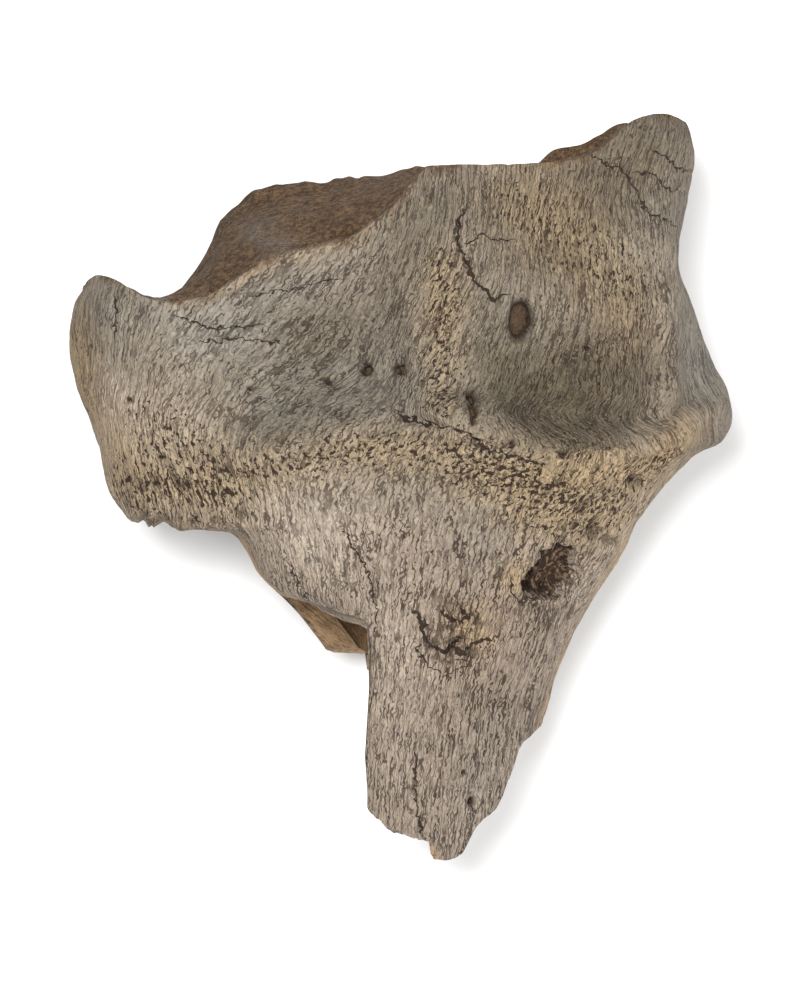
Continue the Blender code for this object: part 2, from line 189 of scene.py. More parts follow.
# Natural openings: x, y, half sizes across and along, depth
FORAMINA = [
    (19.1, 26.4, 2.0, 3.7, 3.6), (-5.8, 18.8, 0.95, 0.95, 2.2), (-0.2, 18.8, 0.95, 0.95, 1.6),
    (11.3, 14.6, 1.0, 1.1, 2.6), (11.1, 11.6, 0.6, 2.2, 0.9), (29.4, 22.0, 0.5, 0.5, 0.8),
    (-11.4, 16.9, 0.6, 0.6, 0.6), (17.4, 6.8, 0.6, 0.7, 1.0), (25.4, 4.9, 0.7, 0.6, 1.2),
    (10.0, -45.7, 0.5, 0.4, 0.8), (11.3, -50.3, 0.7, 0.9, 2.0), (-43.4, 14.0, 0.5, 0.5, 0.7),
    (-24.0, 16.0, 0.5, 0.5, 0.6), (-38.0, 5.0, 0.6, 0.5, 0.8),
]
# Scraped places that show brown spongy bone: x, y, half sizes, depth
SCRAPES = [(30.8, -6.8, 1.3, 1.9, 1.0), (33.4, -8.2, 1.7, 0.9, 0.9), (20.3, -15.2, 1.5, 1.6, 0.9),
           (-34.5, 0.5, 1.2, 0.9, 0.7), (37.4, 0.5, 1.6, 1.0, 0.9)]
# Ragged pit: x, y, half length, half width, turn of the long axis in degrees, depth
RAGGED_PIT = (24.3, -14.0, 5.0, 3.5, 52.0, 4.6)
# Cracked dent: x, y, half sizes, depth
PUNCTURE = (7.8, -23.2, 5.6, 5.2, 1.0)
FUNNEL_DEPTH = 0.25
PORE_DEPTH = 0.62
SLOT_DEPTH = 0.6
# Depth of a crack against its half width, the width of its banks, and how far it wanders
CRACK_DEPTH = 1.98
CRACK_BANK = 0.42
CRACK_SHIFT = 0.18

# Cracks: line, half width, grouped so that no two of one group meet
CRACKS_ONE = [
    ([(9.7, 43.4), (8.9, 41.4), (8.8, 39.0), (9.7, 37.2), (10.6, 34.8), (11.4, 32.6), (13.5, 31.3),
      (14.7, 29.7), (15.9, 30.3)], 0.26),
    ([(30.6, 52.4), (33.4, 50.8), (34.5, 50.8), (36.5, 48.6), (37.9, 46.0), (39.1, 43.8),
      (43.3, 42.0)], 0.13),
    ([(40.7, 53.4), (43.3, 51.8), (44.2, 50.6), (46.3, 50.5)], 0.13),
    ([(-45.4, 30.0), (-45.2, 27.3), (-45.4, 24.4)], 0.17),
    ([(-35.0, 27.0), (-30.8, 25.4), (-27.1, 25.5), (-22.6, 25.7)], 0.14),
    ([(-0.2, 11.8), (6.2, 9.4), (11.0, 8.4), (12.6, 6.0), (17.4, 4.6), (21.4, 3.8)], 0.2),
    ([(-9.0, -7.0), (-7.9, -9.5), (-6.2, -12.1), (-5.0, -14.5), (-4.4, -18.2), (-3.9, -20.1),
      (-4.2, -22.2)], 0.12),
    ([(2.0, -19.9), (3.3, -21.4), (3.6, -22.6), (3.8, -24.2), (4.6, -25.4), (5.8, -25.7), (7.1, -26.3),
      (7.9, -25.4), (8.9, -24.6)], 0.30),
    ([(2.0, -42.2), (2.3, -46.5), (2.0, -48.4), (2.8, -52.6), (3.3, -55.4)], 0.15),
    ([(17.4, -14.6), (17.7, -17.2), (19.6, -18.3), (21.5, -17.8)], 0.14),
]
CRACKS_TWO = [
    ([(10.9, 39.0), (12.9, 40.2), (14.7, 39.4), (17.0, 39.4)], 0.15),
    ([(37.7, 50.0), (40.7, 49.5), (42.0, 47.6), (45.0, 47.1)], 0.12),
    ([(-17.8, -12.4), (-16.7, -15.3), (-15.0, -17.5)], 0.12),
    ([(8.2, -25.4), (9.2, -26.3), (10.3, -26.2), (11.6, -25.2), (13.0, -24.4), (13.8, -24.2)], 0.26),
    ([(6.6, -19.9), (7.9, -21.2), (9.5, -22.2), (10.3, -21.4), (10.3, -20.2), (9.7, -19.8)], 0.25),
    ([(2.8, -25.4), (2.6, -26.3), (3.9, -27.4), (4.2, -28.4), (5.7, -29.2)], 0.14),
    ([(7.1, -30.0), (8.9, -29.0), (10.8, -28.4)], 0.1),
    ([(-32.2, 23.0), (-25.8, 23.8), (-19.4, 23.0)], 0.1),
    ([(-24.2, 30.2), (-16.2, 31.8), (-9.8, 33.0)], 0.1),
]

# Charts that follow the grain: points each way, their spacing and the reach from the middle
CHART_STEPS = 288
CHART_STEP = 0.5
CHART_REACH = 72.0
# How far the joint face draws out one direction, so that its grain looks round
ROUND_GRAIN = 6.0

# Which way the grain lies: x, y, degrees from +X
GRAIN = [
    (-3.0, -50.0, 91.0), (10.0, -50.0, 80.0), (-18.0, -14.0, 98.0), (0.0, -25.0, 90.0), (14.0, -25.0, 76.0),
    (26.0, -25.0, 65.0), (34.0, -10.0, 60.0), (10.0, -5.0, 88.0), (24.0, -2.0, 72.0), (40.0, 2.0, 50.0),
    (-40.0, 0.0, 108.0), (-25.0, 0.0, 100.0), (-48.0, 15.0, 100.0), (-30.0, 12.0, 60.0),
    (-30.0, 25.0, 14.0), (-15.0, 30.0, 18.0), (-36.0, 21.0, 4.0), (-24.0, 21.0, 8.0), (-19.0, 26.0, 14.0),
    (-8.0, 31.0, 28.0), (-12.0, 18.0, 34.0), (0.0, 18.0, 70.0), (-18.0, 10.0, 48.0), (6.0, 30.0, 80.0),
    (16.0, 18.0, 62.0), (27.0, 14.0, 112.0), (36.0, 18.0, 124.0), (48.0, 20.0, 118.0), (30.0, 32.0, 132.0),
    (42.0, 40.0, 100.0), (20.0, 46.0, 108.0), (40.0, 54.0, 84.0), (-46.0, 28.0, 92.0),
]
# Porous places: line, half width, strength
POROUS = [
    ([(-24.2, 3.0), (-11.4, 5.0), (-0.2, 6.4), (9.4, 4.6)], 3.6, 0.8),
    ([(9.4, 4.6), (19.0, 1.0), (27.0, -2.0), (33.0, -3.0)], 5.2, 1.0),
    ([(33.0, -2.0), (38.2, 1.4), (43.5, 5.2)], 2.3, 0.85),
    ([(-41.0, 2.0), (-39.0, 9.0), (-31.0, 4.0)], 6.5, 0.75),
    ([(6.6, 36.0), (6.4, 25.4), (6.4, 13.0)], 3.2, 0.85),
    ([(18.0, 46.0), (27.0, 39.0), (36.0, 31.8)], 6.0, 0.7),
    ([(20.0, -4.5), (30.0, -6.5)], 3.8, 0.75),
    ([(-40.0, 20.0), (-30.0, 12.0)], 6.0, 0.3),
    ([(24.0, 3.0), (33.0, 2.0), (41.0, 4.5)], 2.6, 0.7),
]
# Places where the pores are long slots: line, half width, strength
SLOTS = [
    ([(-43.0, 0.0), (-35.0, 0.0), (-28.0, 0.0)], 5.5, 1.0),
    ([(18.0, -2.0), (30.0, -5.0)], 4.5, 0.8),
    ([(-51.0, 24.0), (-50.0, 14.0)], 3.0, 0.5),
]
# Coloured patches: x, y, half length, half width, turn in degrees, strength
BLUE = [(-12.0, 18.0, 18.0, 9.0, -10.0, 0.75), (-21.5, 10.2, 6.0, 3.6, -35.0, 0.8),
        (15.0, 21.0, 7.0, 8.0, 0.0, 0.55), (48.5, 20.0, 9.0, 5.0, -65.0, 0.9),
        (-46.0, 28.0, 7.0, 5.0, 0.0, 0.6), (-32.0, 24.0, 10.0, 5.0, 0.0, 0.6),
        (14.0, -8.0, 10.0, 6.0, -20.0, 0.45), (12.0, -46.0, 5.0, 14.0, -20.0, 0.4),
        (-20.0, 31.0, 14.0, 4.0, 15.0, 0.35), (40.0, 40.0, 6.0, 10.0, 0.0, 0.3),
        (4.0, 42.0, 7.0, 7.0, 0.0, 0.3)]
WARM = [(-46.0, 6.0, 10.0, 4.5, -65.0, 0.6), (30.0, 2.5, 14.0, 3.0, 0.0, 0.6),
        (42.0, 6.0, 7.0, 2.6, 35.0, 0.9), (26.0, -3.0, 14.0, 6.0, -10.0, 0.55),
        (24.0, 43.0, 9.0, 6.0, -45.0, 0.5), (-51.5, 20.0, 11.0, 2.6, -85.0, 0.9),
        (7.0, 28.0, 9.0, 3.5, 90.0, 0.4), (11.0, -23.0, 4.5, 4.5, 0.0, 0.6),
        (18.0, -14.0, 3.0, 3.0, 0.0, 0.7), (-30.0, 2.0, 14.0, 4.0, 0.0, 0.35),
        (35.0, 27.0, 8.0, 4.0, -60.0, 0.4), (0.0, 6.0, 12.0, 3.0, 0.0, 0.35)]
# Darkened places: partly brown stain, partly painted shade in the hollows and on faces turned away from the
# light
DARK_STAIN_AND_SHADE = [(27.5, 15.5, 12.0, 9.0, 20.0, 1.1), (-12.0, 24.0, 9.0, 4.5, 10.0, 0.45),
        (-21.5, 10.2, 6.0, 3.6, -35.0, 0.55), (4.0, 44.0, 12.0, 6.0, 0.0, 0.5),
        (30.0, 46.0, 14.0, 9.0, 30.0, 0.75), (40.0, 54.0, 8.0, 6.0, 0.0, 0.4),
        (-48.0, 28.0, 7.0, 7.0, 0.0, 0.4), (-51.5, 18.0, 12.0, 3.0, -80.0, 0.45),
        (14.5, 21.0, 5.5, 8.0, 0.0, 0.8), (-11.0, 17.0, 15.0, 8.0, -12.0, 0.4),
        (28.0, 33.0, 10.0, 6.0, -40.0, 0.25), (2.0, 35.0, 6.0, 8.0, 0.0, 0.25)]
# Lighter places: partly paler bone, partly painted light on faces turned toward the light
PALE_AND_LIT_PATCHES = [(-14.0, -8.0, 10.0, 7.0, -50.0, 0.9), (0.0, -35.0, 7.0, 22.0, 0.0, 0.45),
        (32.0, -14.0, 16.0, 3.0, 60.0, 0.5), (-34.0, 9.0, 9.0, 6.0, 0.0, 0.35),
        (-45.0, 10.0, 5.0, 9.0, 0.0, 0.9), (-30.0, 22.0, 9.0, 4.0, -10.0, 0.25)]

# Stage, in metres: half width of the floor, point that the lamps face, and middle of the picture
FLOOR_HALF = 3.0
LAMP_TARGET = (0.0, 0.0, 0.03)
VIEW_MIDDLE = (0.00007, -0.00195, 0.040)
VIEW_SHAPE = 1000.0 / 800.0
# Lamps: name, place, share of the key power, width
LAMPS = [("key", (-0.13, 0.16, 1.20), 1.0, 0.28), ("low", (0.75, -0.80, 0.75), 0.75, 0.9)]


def stations(points, value):
    """Smooth curve through the points: cubic pieces whose slopes are the harmonic mean of the
    neighbouring rises, and level where the rises change sign."""
    px = np.array([p[0] for p in points], float)
    py = np.array([p[1] for p in points], float)
    value = np.clip(value, px[0], px[-1])
    step = np.diff(px)
    rise = np.diff(py) / step
    slope = np.zeros(len(px))
    same = rise[1:] * rise[:-1] > 0
    slope[1:-1] = np.where(same, 2.0 * rise[1:] * rise[:-1] / np.where(same, rise[1:] + rise[:-1], 1.0), 0.0)
    slope[0], slope[-1] = rise[0], rise[-1]
    k = np.clip(np.searchsorted(px, value, side="right") - 1, 0, len(step) - 1)
    t = (value - px[k]) / step[k]
    return ((1 + 2 * t) * (1 - t) ** 2 * py[k] + t * (1 - t) ** 2 * step[k] * slope[k]
            + t * t * (3 - 2 * t) * py[k + 1] + t * t * (t - 1) * step[k] * slope[k + 1])


def smooth(low, high, value):
    """0 below low, 1 above high and a smooth cubic step between."""
    t = np.clip((value - low) / (high - low), 0.0, 1.0)
    return t * t * (3.0 - 2.0 * t)


def between(start, full, fade, stop, value):
    """0 up to start and past stop, 1 from full to fade, with smooth steps between."""
    return smooth(start, full, value) * smooth(stop, fade, value)


def turnover(value, middle, width):
    """S curve from 0 to 1: one over one plus the exponential of the distance below the middle in widths."""
    return 1.0 / (1.0 + np.exp((middle - value) / width))


def xyz(x, y, z):
    """Three arrays or numbers, spread to one shape, side by side in a last axis."""
    return np.stack(np.broadcast_arrays(x, y, z), axis=-1)


def trace(x, y, line):
    """Signed distance to a line of points: plus on its left, minus on its right."""
    best = np.full(np.shape(x), 1e9)
    side = np.ones(np.shape(x))
    for (ax, ay), (bx, by) in zip(line, line[1:]):
        dx, dy = bx - ax, by - ay
        s = np.clip(((x - ax) * dx + (y - ay) * dy) / (dx * dx + dy * dy), 0.0, 1.0)
        d = np.hypot(x - ax - s * dx, y - ay - s * dy)
        left = np.where(dx * (y - ay) - dy * (x - ax) > 0, 1.0, -1.0)
        side = np.where(d < best, left, side)
        best = np.minimum(best, d)
    return best * side


def ridge(x, y, line, width):
    """Bell section along a line of points: exp of minus the squared distance over the squared width."""
    return np.exp(-(trace(x, y, line) / width) ** 2)


def bowl(x, y, centre, half_length, half_width, degrees):
    """Oval bell: exp of minus the squared distance in half lengths and half widths, turned."""
    turn = math.radians(degrees)
    c, s = math.cos(turn), math.sin(turn)
    dx, dy = x - centre[0], y - centre[1]
    return np.exp(-((dx * c + dy * s) / half_length) ** 2 - ((-dx * s + dy * c) / half_width) ** 2)


def sunk(x, y, rows):
    """Sum of oval bells, each times its depth."""
    return sum(depth * bowl(x, y, centre, length, width, turn)
               for centre, depth, length, width, turn in rows)


def patches(x, y, rows):
    """Sum of oval bells, held to 1."""
    total = sum(strength * bowl(x, y, (cx, cy), length, width, turn)
                for cx, cy, length, width, turn, strength in rows)
    return np.minimum(total, 1.0)


def lattice(ix, iy, iz, seed):
    """Random number from 0 to 1 for each whole-number place, by mixing the bits of place and seed."""
    with np.errstate(over="ignore"):
        h = (ix.astype(np.uint32) * np.uint32(374761393) + iy.astype(np.uint32) * np.uint32(668265263)
             + iz.astype(np.uint32) * np.uint32(2246822519) + np.uint32(seed * 3266489917 % 2 ** 32))
        h = (h ^ (h >> np.uint32(15))) * np.uint32(2246822519)
        h = (h ^ (h >> np.uint32(13))) * np.uint32(3266489917)
        h = h ^ (h >> np.uint32(16))
    return h.astype(np.float64) / 2 ** 32


def noise(p, size, seed):
    """Value noise from -1 to 1: random numbers at the corners of cubes of the given size, blended by a
    smooth step."""
    q = p / size
    base = np.floor(q)
    f = q - base
    f = f * f * (3.0 - 2.0 * f)
    i = base.astype(np.int64)
    total = 0.0
    for dx in (0, 1):
        for dy in (0, 1):
            for dz in (0, 1):
                weight = (np.where(dx, f[..., 0], 1 - f[..., 0]) * np.where(dy, f[..., 1], 1 - f[..., 1])
                          * np.where(dz, f[..., 2], 1 - f[..., 2]))
                total = total + weight * lattice(i[..., 0] + dx, i[..., 1] + dy, i[..., 2] + dz, seed)
    return 2.0 * total - 1.0


def uneven(p, rows):
    """Sum of noises, each with its size, height and seed."""
    return sum(height * noise(p, size, seed) for size, height, seed in rows)


def cells(p, size, seed):
    """Distance to the nearest and to the second nearest of one random point in each cube, in cube sizes,
    and the nearest cube's random number."""
    q = p / size
    base = np.floor(q).astype(np.int64)
    first = np.full(q.shape[:-1], 9.0)
    second = np.full(q.shape[:-1], 9.0)
    owner = np.zeros(q.shape[:-1])
    for dx in (-1, 0, 1):
        for dy in (-1, 0, 1):
            for dz in (-1, 0, 1):
                cx, cy, cz = base[..., 0] + dx, base[..., 1] + dy, base[..., 2] + dz
                ox, oy, oz = (lattice(cx, cy, cz, seed + k) for k in (0, 1, 2))
                d = np.sqrt((cx + ox - q[..., 0]) ** 2 + (cy + oy - q[..., 1]) ** 2
                            + (cz + oz - q[..., 2]) ** 2)
                nearer = d < first
                second = np.where(nearer, first, np.minimum(second, d))
                owner = np.where(nearer, ox, owner)
                first = np.where(nearer, d, first)
    return first, second, owner


def upper_height(x, y):
    """Height of the upper face: the crest line, plus the ridges blended as the cube root of the
    sum of their cubes, minus the hollows."""
    raised = sum((height * ridge(x, y, line, width)) ** 3 for line, height, width in RIDGES) ** (1.0 / 3.0)
    return stations(CREST_LINE, y) + raised - sunk(x, y, HOLLOWS)


def lower_height(x, y):
    """Height of the lower face: the keel line minus the swellings, worn level at the ground."""
    return np.maximum(stations(KEEL_LINE, y) - sunk(x, y, SWELLINGS), 0.0)


def across(a, y, inset=0.0):
    """X of the column a, from the left side at -1 to the right side at 1, at the level y."""
    left = stations(LEFT_SIDE, y) + inset
    right = stations(RIGHT_SIDE, y) - inset
    return left + (right - left) * (a + 1.0) / 2.0


def column_of(x, y):
    """Column that passes through a place: -1 at the left side, 1 at the right side."""
    left, right = across(-1.0, y), across(1.0, y)
    return 2.0 * (x - left) / np.maximum(right - left, 1.0) - 1.0


def meet(a, line):
    """Level at which each column crosses a line of (x, y) points: each point is given the column that
    passes through it, and the levels between are read off the smooth curve."""
    return stations([(float(column_of(px, py)), py) for px, py in line], a)


def columns(steps):
    """Columns evenly spaced by arc length round half of a squarish oval section."""
    t = np.linspace(math.pi, 0.0, 4001)
    power = 2.0 / 3.0
    a = np.sign(np.cos(t)) * np.abs(np.cos(t)) ** power
    h = 0.5 * np.sin(t) ** power
    run = np.concatenate([[0.0], np.cumsum(np.hypot(np.diff(a), np.diff(h)))])
    return np.interp(np.linspace(0.0, run[-1], steps + 1), run, a)


def section(a, y, upper, inset=0.0):
    """Points of the section at the level y: a squarish oval from the waist line up to the upper face
    or down to the lower face, set in by the wall for the marrow side."""
    x = across(a, y, inset)
    waist = stations(WAIST_LINE, y)
    power = np.where(a < 0.0, stations(LEFT_SQUARE, y), stations(RIGHT_SQUARE, y))
    power = np.where(upper, power, stations(LOWER_SQUARE, y))
    lift = (1.0 - np.minimum(np.abs(a), 1.0) ** power) ** (1.0 / power)
    top = upper_height(x, y) - inset
    low = lower_height(x, y) + inset
    z = waist + lift * np.where(upper, top - waist, low - waist)
    return xyz(x, y, z)


def levels(stops, counts):
    """Rows through a list of levels for each column, evenly spaced from each level to the next."""
    out = [stops[0][None, :]]
    for start, stop, count in zip(stops, stops[1:], counts):
        k = np.arange(1, count + 1)[:, None] / count
        out.append(start + (stop - start) * k)
    return np.concatenate(out)


def bone_rings(top_steps):
    """Rings of the skin from the joint seam over the outside, round the broken edge and up the marrow
    side to its blind end.  Returns the points, which columns are upper, and the kind of each ring:
    0 joint face, 1 outside, 2 broken edge, 3 marrow side, 4 blind end."""
    half = columns(top_steps)
    a = np.concatenate([half, half[-1 - COLUMN_RATIO:0:-COLUMN_RATIO]])
    upper = np.arange(len(a)) <= top_steps
    side = np.abs(a) ** 4
    rim_up = meet(a, FACE_RIM)
    edge_x = across(a, rim_up)
    joint_y = stations(JOINT_EDGE, edge_x) + uneven(xyz(edge_x, 0.0, 0.0), JOINT_WEAR) * (1.0 - side ** 3)
    rim_low = joint_y - UNDERCUT * (1.0 - side)
    rim_low = rim_low + (rim_up - rim_low) * side
    rim = np.where(upper, rim_up, rim_low)

    teeth = uneven(xyz(a * 40.0, np.where(upper, 20.0, -20.0), 0.0), BREAK_TEETH)
    broken = np.where(upper & (a > -1.0), meet(a, UPPER_BREAK), meet(a, LOWER_BREAK))
    broken = broken + teeth * (1.0 - side ** 4)
    shoulder = np.maximum(broken + SHOULDER_GAP, SHOULDER)
    neck = [np.full_like(broken, level) for level in (NECK_LOW, NECK_EDGE, NECK_HIGH)]
    outside = levels([broken, shoulder, *neck, rim], OUTSIDE_ROWS)
    outer = section(a[None, :], outside, upper[None, :])[::-1]

    joint_z = JOINT_LEVEL_LEFT + (JOINT_LEVEL_RIGHT - JOINT_LEVEL_LEFT) * turnover(edge_x, 4.0, 3.0)
    joint_z = joint_z + (JOINT_LEVEL_LOBE - joint_z) * turnover(-edge_x, 37.0, 1.6)
    seam = xyz(edge_x, joint_y, joint_z)
    q = np.linspace(1.0, 0.0, JOINT_ROWS + 1)[:-1, None, None]
    face = outer[0][None] * (1.0 - q) + seam[None] * q
    swell = np.sin(math.pi * q[..., 0]) * JOINT_BULGE * ((1.0 - side) * turnover(-edge_x, -1.0, 1.0))
    face[..., 1] += 0.6 * swell
    face[..., 2] += np.where(upper[None, :], 0.8, -0.3) * swell

    inside = levels([broken, shoulder, np.full_like(broken, MARROW_TOP)], MARROW_ROWS)
    inner = section(a[None, :], inside, upper[None, :], WALL)
    f = (np.arange(1, LIP_ROWS) / LIP_ROWS)[:, None, None]
    lip = outer[-1][None] * (1.0 - f) + inner[0][None] * f
    lip[..., 1] += uneven(lip, LIP_GRAIN) * np.sin(math.pi * f[..., 0])

    last = inner[-1]
    f = (np.arange(1, BLIND_ROWS + 1) / BLIND_ROWS)[:, None]
    level = MARROW_TOP + (BLIND_END - MARROW_TOP) * np.sin(f * math.pi / 2.0)
    close = np.cos(f * math.pi / 2.0)
    middle = (last[:, 0].max() + last[:, 0].min()) / 2.0
    waist = stations(WAIST_LINE, level)
    blind = xyz(middle + (last[None, :, 0] - middle) * (0.55 + 0.45 * close), level,
                waist + (last[None, :, 2] - waist) * close)
    stretches = (face, outer, lip, inner, blind)
    kind = np.repeat(np.arange(len(stretches)), [len(stretch) for stretch in stretches])
    return np.concatenate(stretches), upper, kind


def outward(rings):
    """Unit normals of the rings: the cross product of the step along the rings and the step round them."""
    along = np.gradient(rings, axis=0)
    around = (np.roll(rings, -1, axis=1) - np.roll(rings, 1, axis=1)) / 2.0
    n = np.cross(along, around)
    return n / np.maximum(np.linalg.norm(n, axis=-1, keepdims=True), 1e-9)


def grain_angle(x, y):
    """Angle of the grain: mean of the named angles, each weighted by one over the fourth power of its
    distance."""
    weight, total = 0.0, 0.0
    for gx, gy, degrees in GRAIN:
        w = 1.0 / (((x - gx) ** 2 + (y - gy) ** 2) + 9.0) ** 2
        weight = weight + w
        total = total + w * degrees
    return np.radians(total / weight)


def flow_charts():
    """Two fields that follow the grain on a square grid: the first rises by one a millimetre across the
    grain, the second along it.  Each is the field whose slope is nearest to the wanted direction in least
    squares, so its Laplacian is the divergence of that direction, solved by Fourier transform."""
    ticks = np.arange(CHART_STEPS) * CHART_STEP - CHART_REACH
    gx, gy = np.meshgrid(ticks, ticks, indexing="ij")
    theta = grain_angle(gx, gy)
    wave = 2.0j * math.pi * np.fft.fftfreq(CHART_STEPS, CHART_STEP)
    wx, wy = wave[:, None], wave[None, :]
    square = wx * wx + wy * wy
    square[0, 0] = 1.0
    charts = []
    for u, v in ((np.sin(theta), -np.cos(theta)), (np.cos(theta), np.sin(theta))):
        spectrum = (wx * np.fft.fft2(u - u.mean()) + wy * np.fft.fft2(v - v.mean())) / square
        spectrum[0, 0] = 0.0
        charts.append(np.fft.ifft2(spectrum).real + u.mean() * gx + v.mean() * gy)
    return charts


def read_chart(chart, x, y):
    """Value of a chart at (x, y), straight between its grid points."""
    u = np.clip((x + CHART_REACH) / CHART_STEP, 0.0, CHART_STEPS - 1.001)
    v = np.clip((y + CHART_REACH) / CHART_STEP, 0.0, CHART_STEPS - 1.001)
    i, j = u.astype(int), v.astype(int)
    s, t = u - i, v - j
    return ((chart[i, j] * (1.0 - s) + chart[i + 1, j] * s) * (1.0 - t)
            + (chart[i, j + 1] * (1.0 - s) + chart[i + 1, j + 1] * s) * t)


def flow_corners(rings, kind, top_steps):
    """Place across and along the grain at the four corners of every face, by the kind of its ring.  On the
    upper outside the charts are read at the point, and the length that the slope of the wall adds round the
    ring is laid on in the direction of X.  Below and on the marrow side it is the length round the ring and
    the level, and on the joint face the place itself, drawn out so that the grain has no direction."""
    around = rings.shape[1]
    charts = flow_charts()
    halves = []
    top = np.arange(top_steps + 1)
    under = np.append(np.arange(top_steps, around), 0)
    for is_upper, order in ((True, top), (False, under)):
        x, y, z = np.moveaxis(rings[:, order], -1, 0)
        run = np.hypot(np.diff(x, axis=1), np.diff(z, axis=1))
        arc = np.concatenate([np.zeros((len(x), 1)), np.cumsum(run, axis=1)], axis=1)
        middle = len(order) // 2
        arc = arc - arc[:, middle:middle + 1]
        joint = xyz(x, y * ROUND_GRAIN, z)
        straight = xyz(arc, y, 0.0)
        grown = straight
        if is_upper:
            extra = arc - (x - x[:, middle:middle + 1])
            theta = grain_angle(x, y)
            grown = xyz(read_chart(charts[0], x, y) + extra * np.sin(theta),
                        read_chart(charts[1], x, y) + extra * np.cos(theta), 0.0)
        halves.append(np.stack([joint, grown, straight]))
    left = np.concatenate([half[:, :, :-1] for half in halves], axis=2)
    right = np.concatenate([half[:, :, 1:] for half in halves], axis=2)
    row = np.arange(len(rings) - 1)
    which = np.minimum(kind[:-1], 2)
    return left[which, row], left[which, row + 1], right[which, row + 1], right[which, row]


def crack_field(x, y, group, fade):
    """For the nearest crack of a group: signed distance, how near it is, and its half width."""
    best = np.full(np.shape(x), 9.0)
    width = np.full(np.shape(x), 0.1)
    for line, half_width in group:
        d = trace(x, y, line)
        nearer = np.abs(d) < np.abs(best)
        best = np.where(nearer, d, best)
        width = np.where(nearer, half_width, width)
    near = smooth(1.8, 0.9, np.abs(best)) * fade
    return np.stack([np.clip(best, -3.0, 3.0), near, width], axis=-1)


def most(x, y, group):
    """Greatest of the bells along the lines of a group."""
    total = np.zeros(np.shape(x))
    for line, width, strength in group:
        total = np.maximum(total, strength * ridge(x, y, line, width))
    return total


class Ground:
    """The skin before it weathers, as arrays of rings by columns: its points, the same places shifted a
    little by noise, masks of its parts, and the pores of its spongy bone."""

    def __init__(self, rings, upper, kind):
        self.rings = rings
        self.x, self.y, self.z = np.moveaxis(rings, -1, 0)
        self.up = np.broadcast_to(upper[None, :], self.x.shape)
        every = np.ones_like(self.up)
        self.joint, self.outside, self.lip = ((kind == k)[:, None] & every for k in (0, 1, 2))
        self.marrow = (kind >= 3)[:, None] & every
        self.blind = (kind == 4)[:, None] & every
        self.face = (self.outside & self.up).astype(float)
        self.wobble = [noise(rings, 2.6, seed) for seed in (31, 32)]
        self.fine = [noise(rings, 1.1, seed) for seed in (33, 34)]
        self.wx = self.x + 0.5 * self.wobble[0] + 0.25 * self.fine[0]
        self.wy = self.y + 0.5 * self.wobble[1] + 0.25 * self.fine[1]
        self.to_pore, _, owner = cells(rings * np.array([1.0, 0.72, 1.0]), 1.55, 61)
        self.pore = smooth(0.62, 0.12, self.to_pore) * (owner > 0.28)


def growth_line(g):
    """Relief of the growth line: a step up that fades with the distance above it, and a ditch below."""
    d = trace(g.x, g.y, LEDGE)
    step = smooth(-0.45, 0.35, d + 0.5 * g.wobble[1] + 0.35 * g.fine[0])
    rise = LEDGE_HEIGHT * step * np.exp(-(np.maximum(d, 0.0) / LEDGE_REACH) ** 2)
    ditch = DITCH_DEPTH * np.exp(-((d + 0.9) / 0.8) ** 2)
    return (rise - ditch) * between(-33.0, -22.0, 38.0, 44.0, g.x) * g.face


def sharp_crests(g):
    """Relief of the sharp crests: a bell along each line, uneven in height."""
    raised = sum(height * ridge(g.x, g.y, line, width) for line, height, width in CRESTS)
    return raised * g.face * (1.0 + 0.35 * g.wobble[0])


def spongy_relief(g, porous, slots):
    """Relief of the open pores, round in porous places and long in slots: a smooth dip round each cell's
    point, left out in some cells."""
    to_slot, _, owner = cells(g.rings * np.array([1.0, 0.42, 1.0]), 1.35, 65)
    slot = smooth(0.55, 0.1, to_slot) * (owner > 0.35)
    worn = 0.22 * smooth(0.2, 0.9, noise(g.rings, 2.2, 62))
    return -porous * (PORE_DEPTH * g.pore + worn) - slots * SLOT_DEPTH * slot


def openings(g):
    """Relief of the natural openings and of the scraped places, and a mask of painted shade inside the
    openings and of
    the brown scraped bone: a smooth step down inside each oval, and round an opening a shallow funnel."""
    relief, hole_shade_and_scrape = 0.0, 0.0
    for cx, cy, half_x, half_y, depth in FORAMINA:
        r = np.hypot((g.x + 0.12 * g.fine[0] - cx) / half_x, (g.y + 0.12 * g.fine[1] - cy) / half_y)
        relief = relief - depth * smooth(1.25, 0.45, r) - FUNNEL_DEPTH * np.exp(-(r / 2.2) ** 2)
        hole_shade_and_scrape = np.maximum(hole_shade_and_scrape, smooth(1.15, 0.7, r))
    for cx, cy, half_x, half_y, depth in SCRAPES:
        r = np.hypot((g.wx - cx) / half_x, (g.wy - cy) / half_y) + 0.25 * g.fine[0]
        sink = smooth(1.15, 0.8, r)
        relief = relief - depth * sink * (0.75 + 0.5 * g.pore)
        hole_shade_and_scrape = np.maximum(hole_shade_and_scrape, 0.45 * sink)
    return relief * g.face, hole_shade_and_scrape * g.face


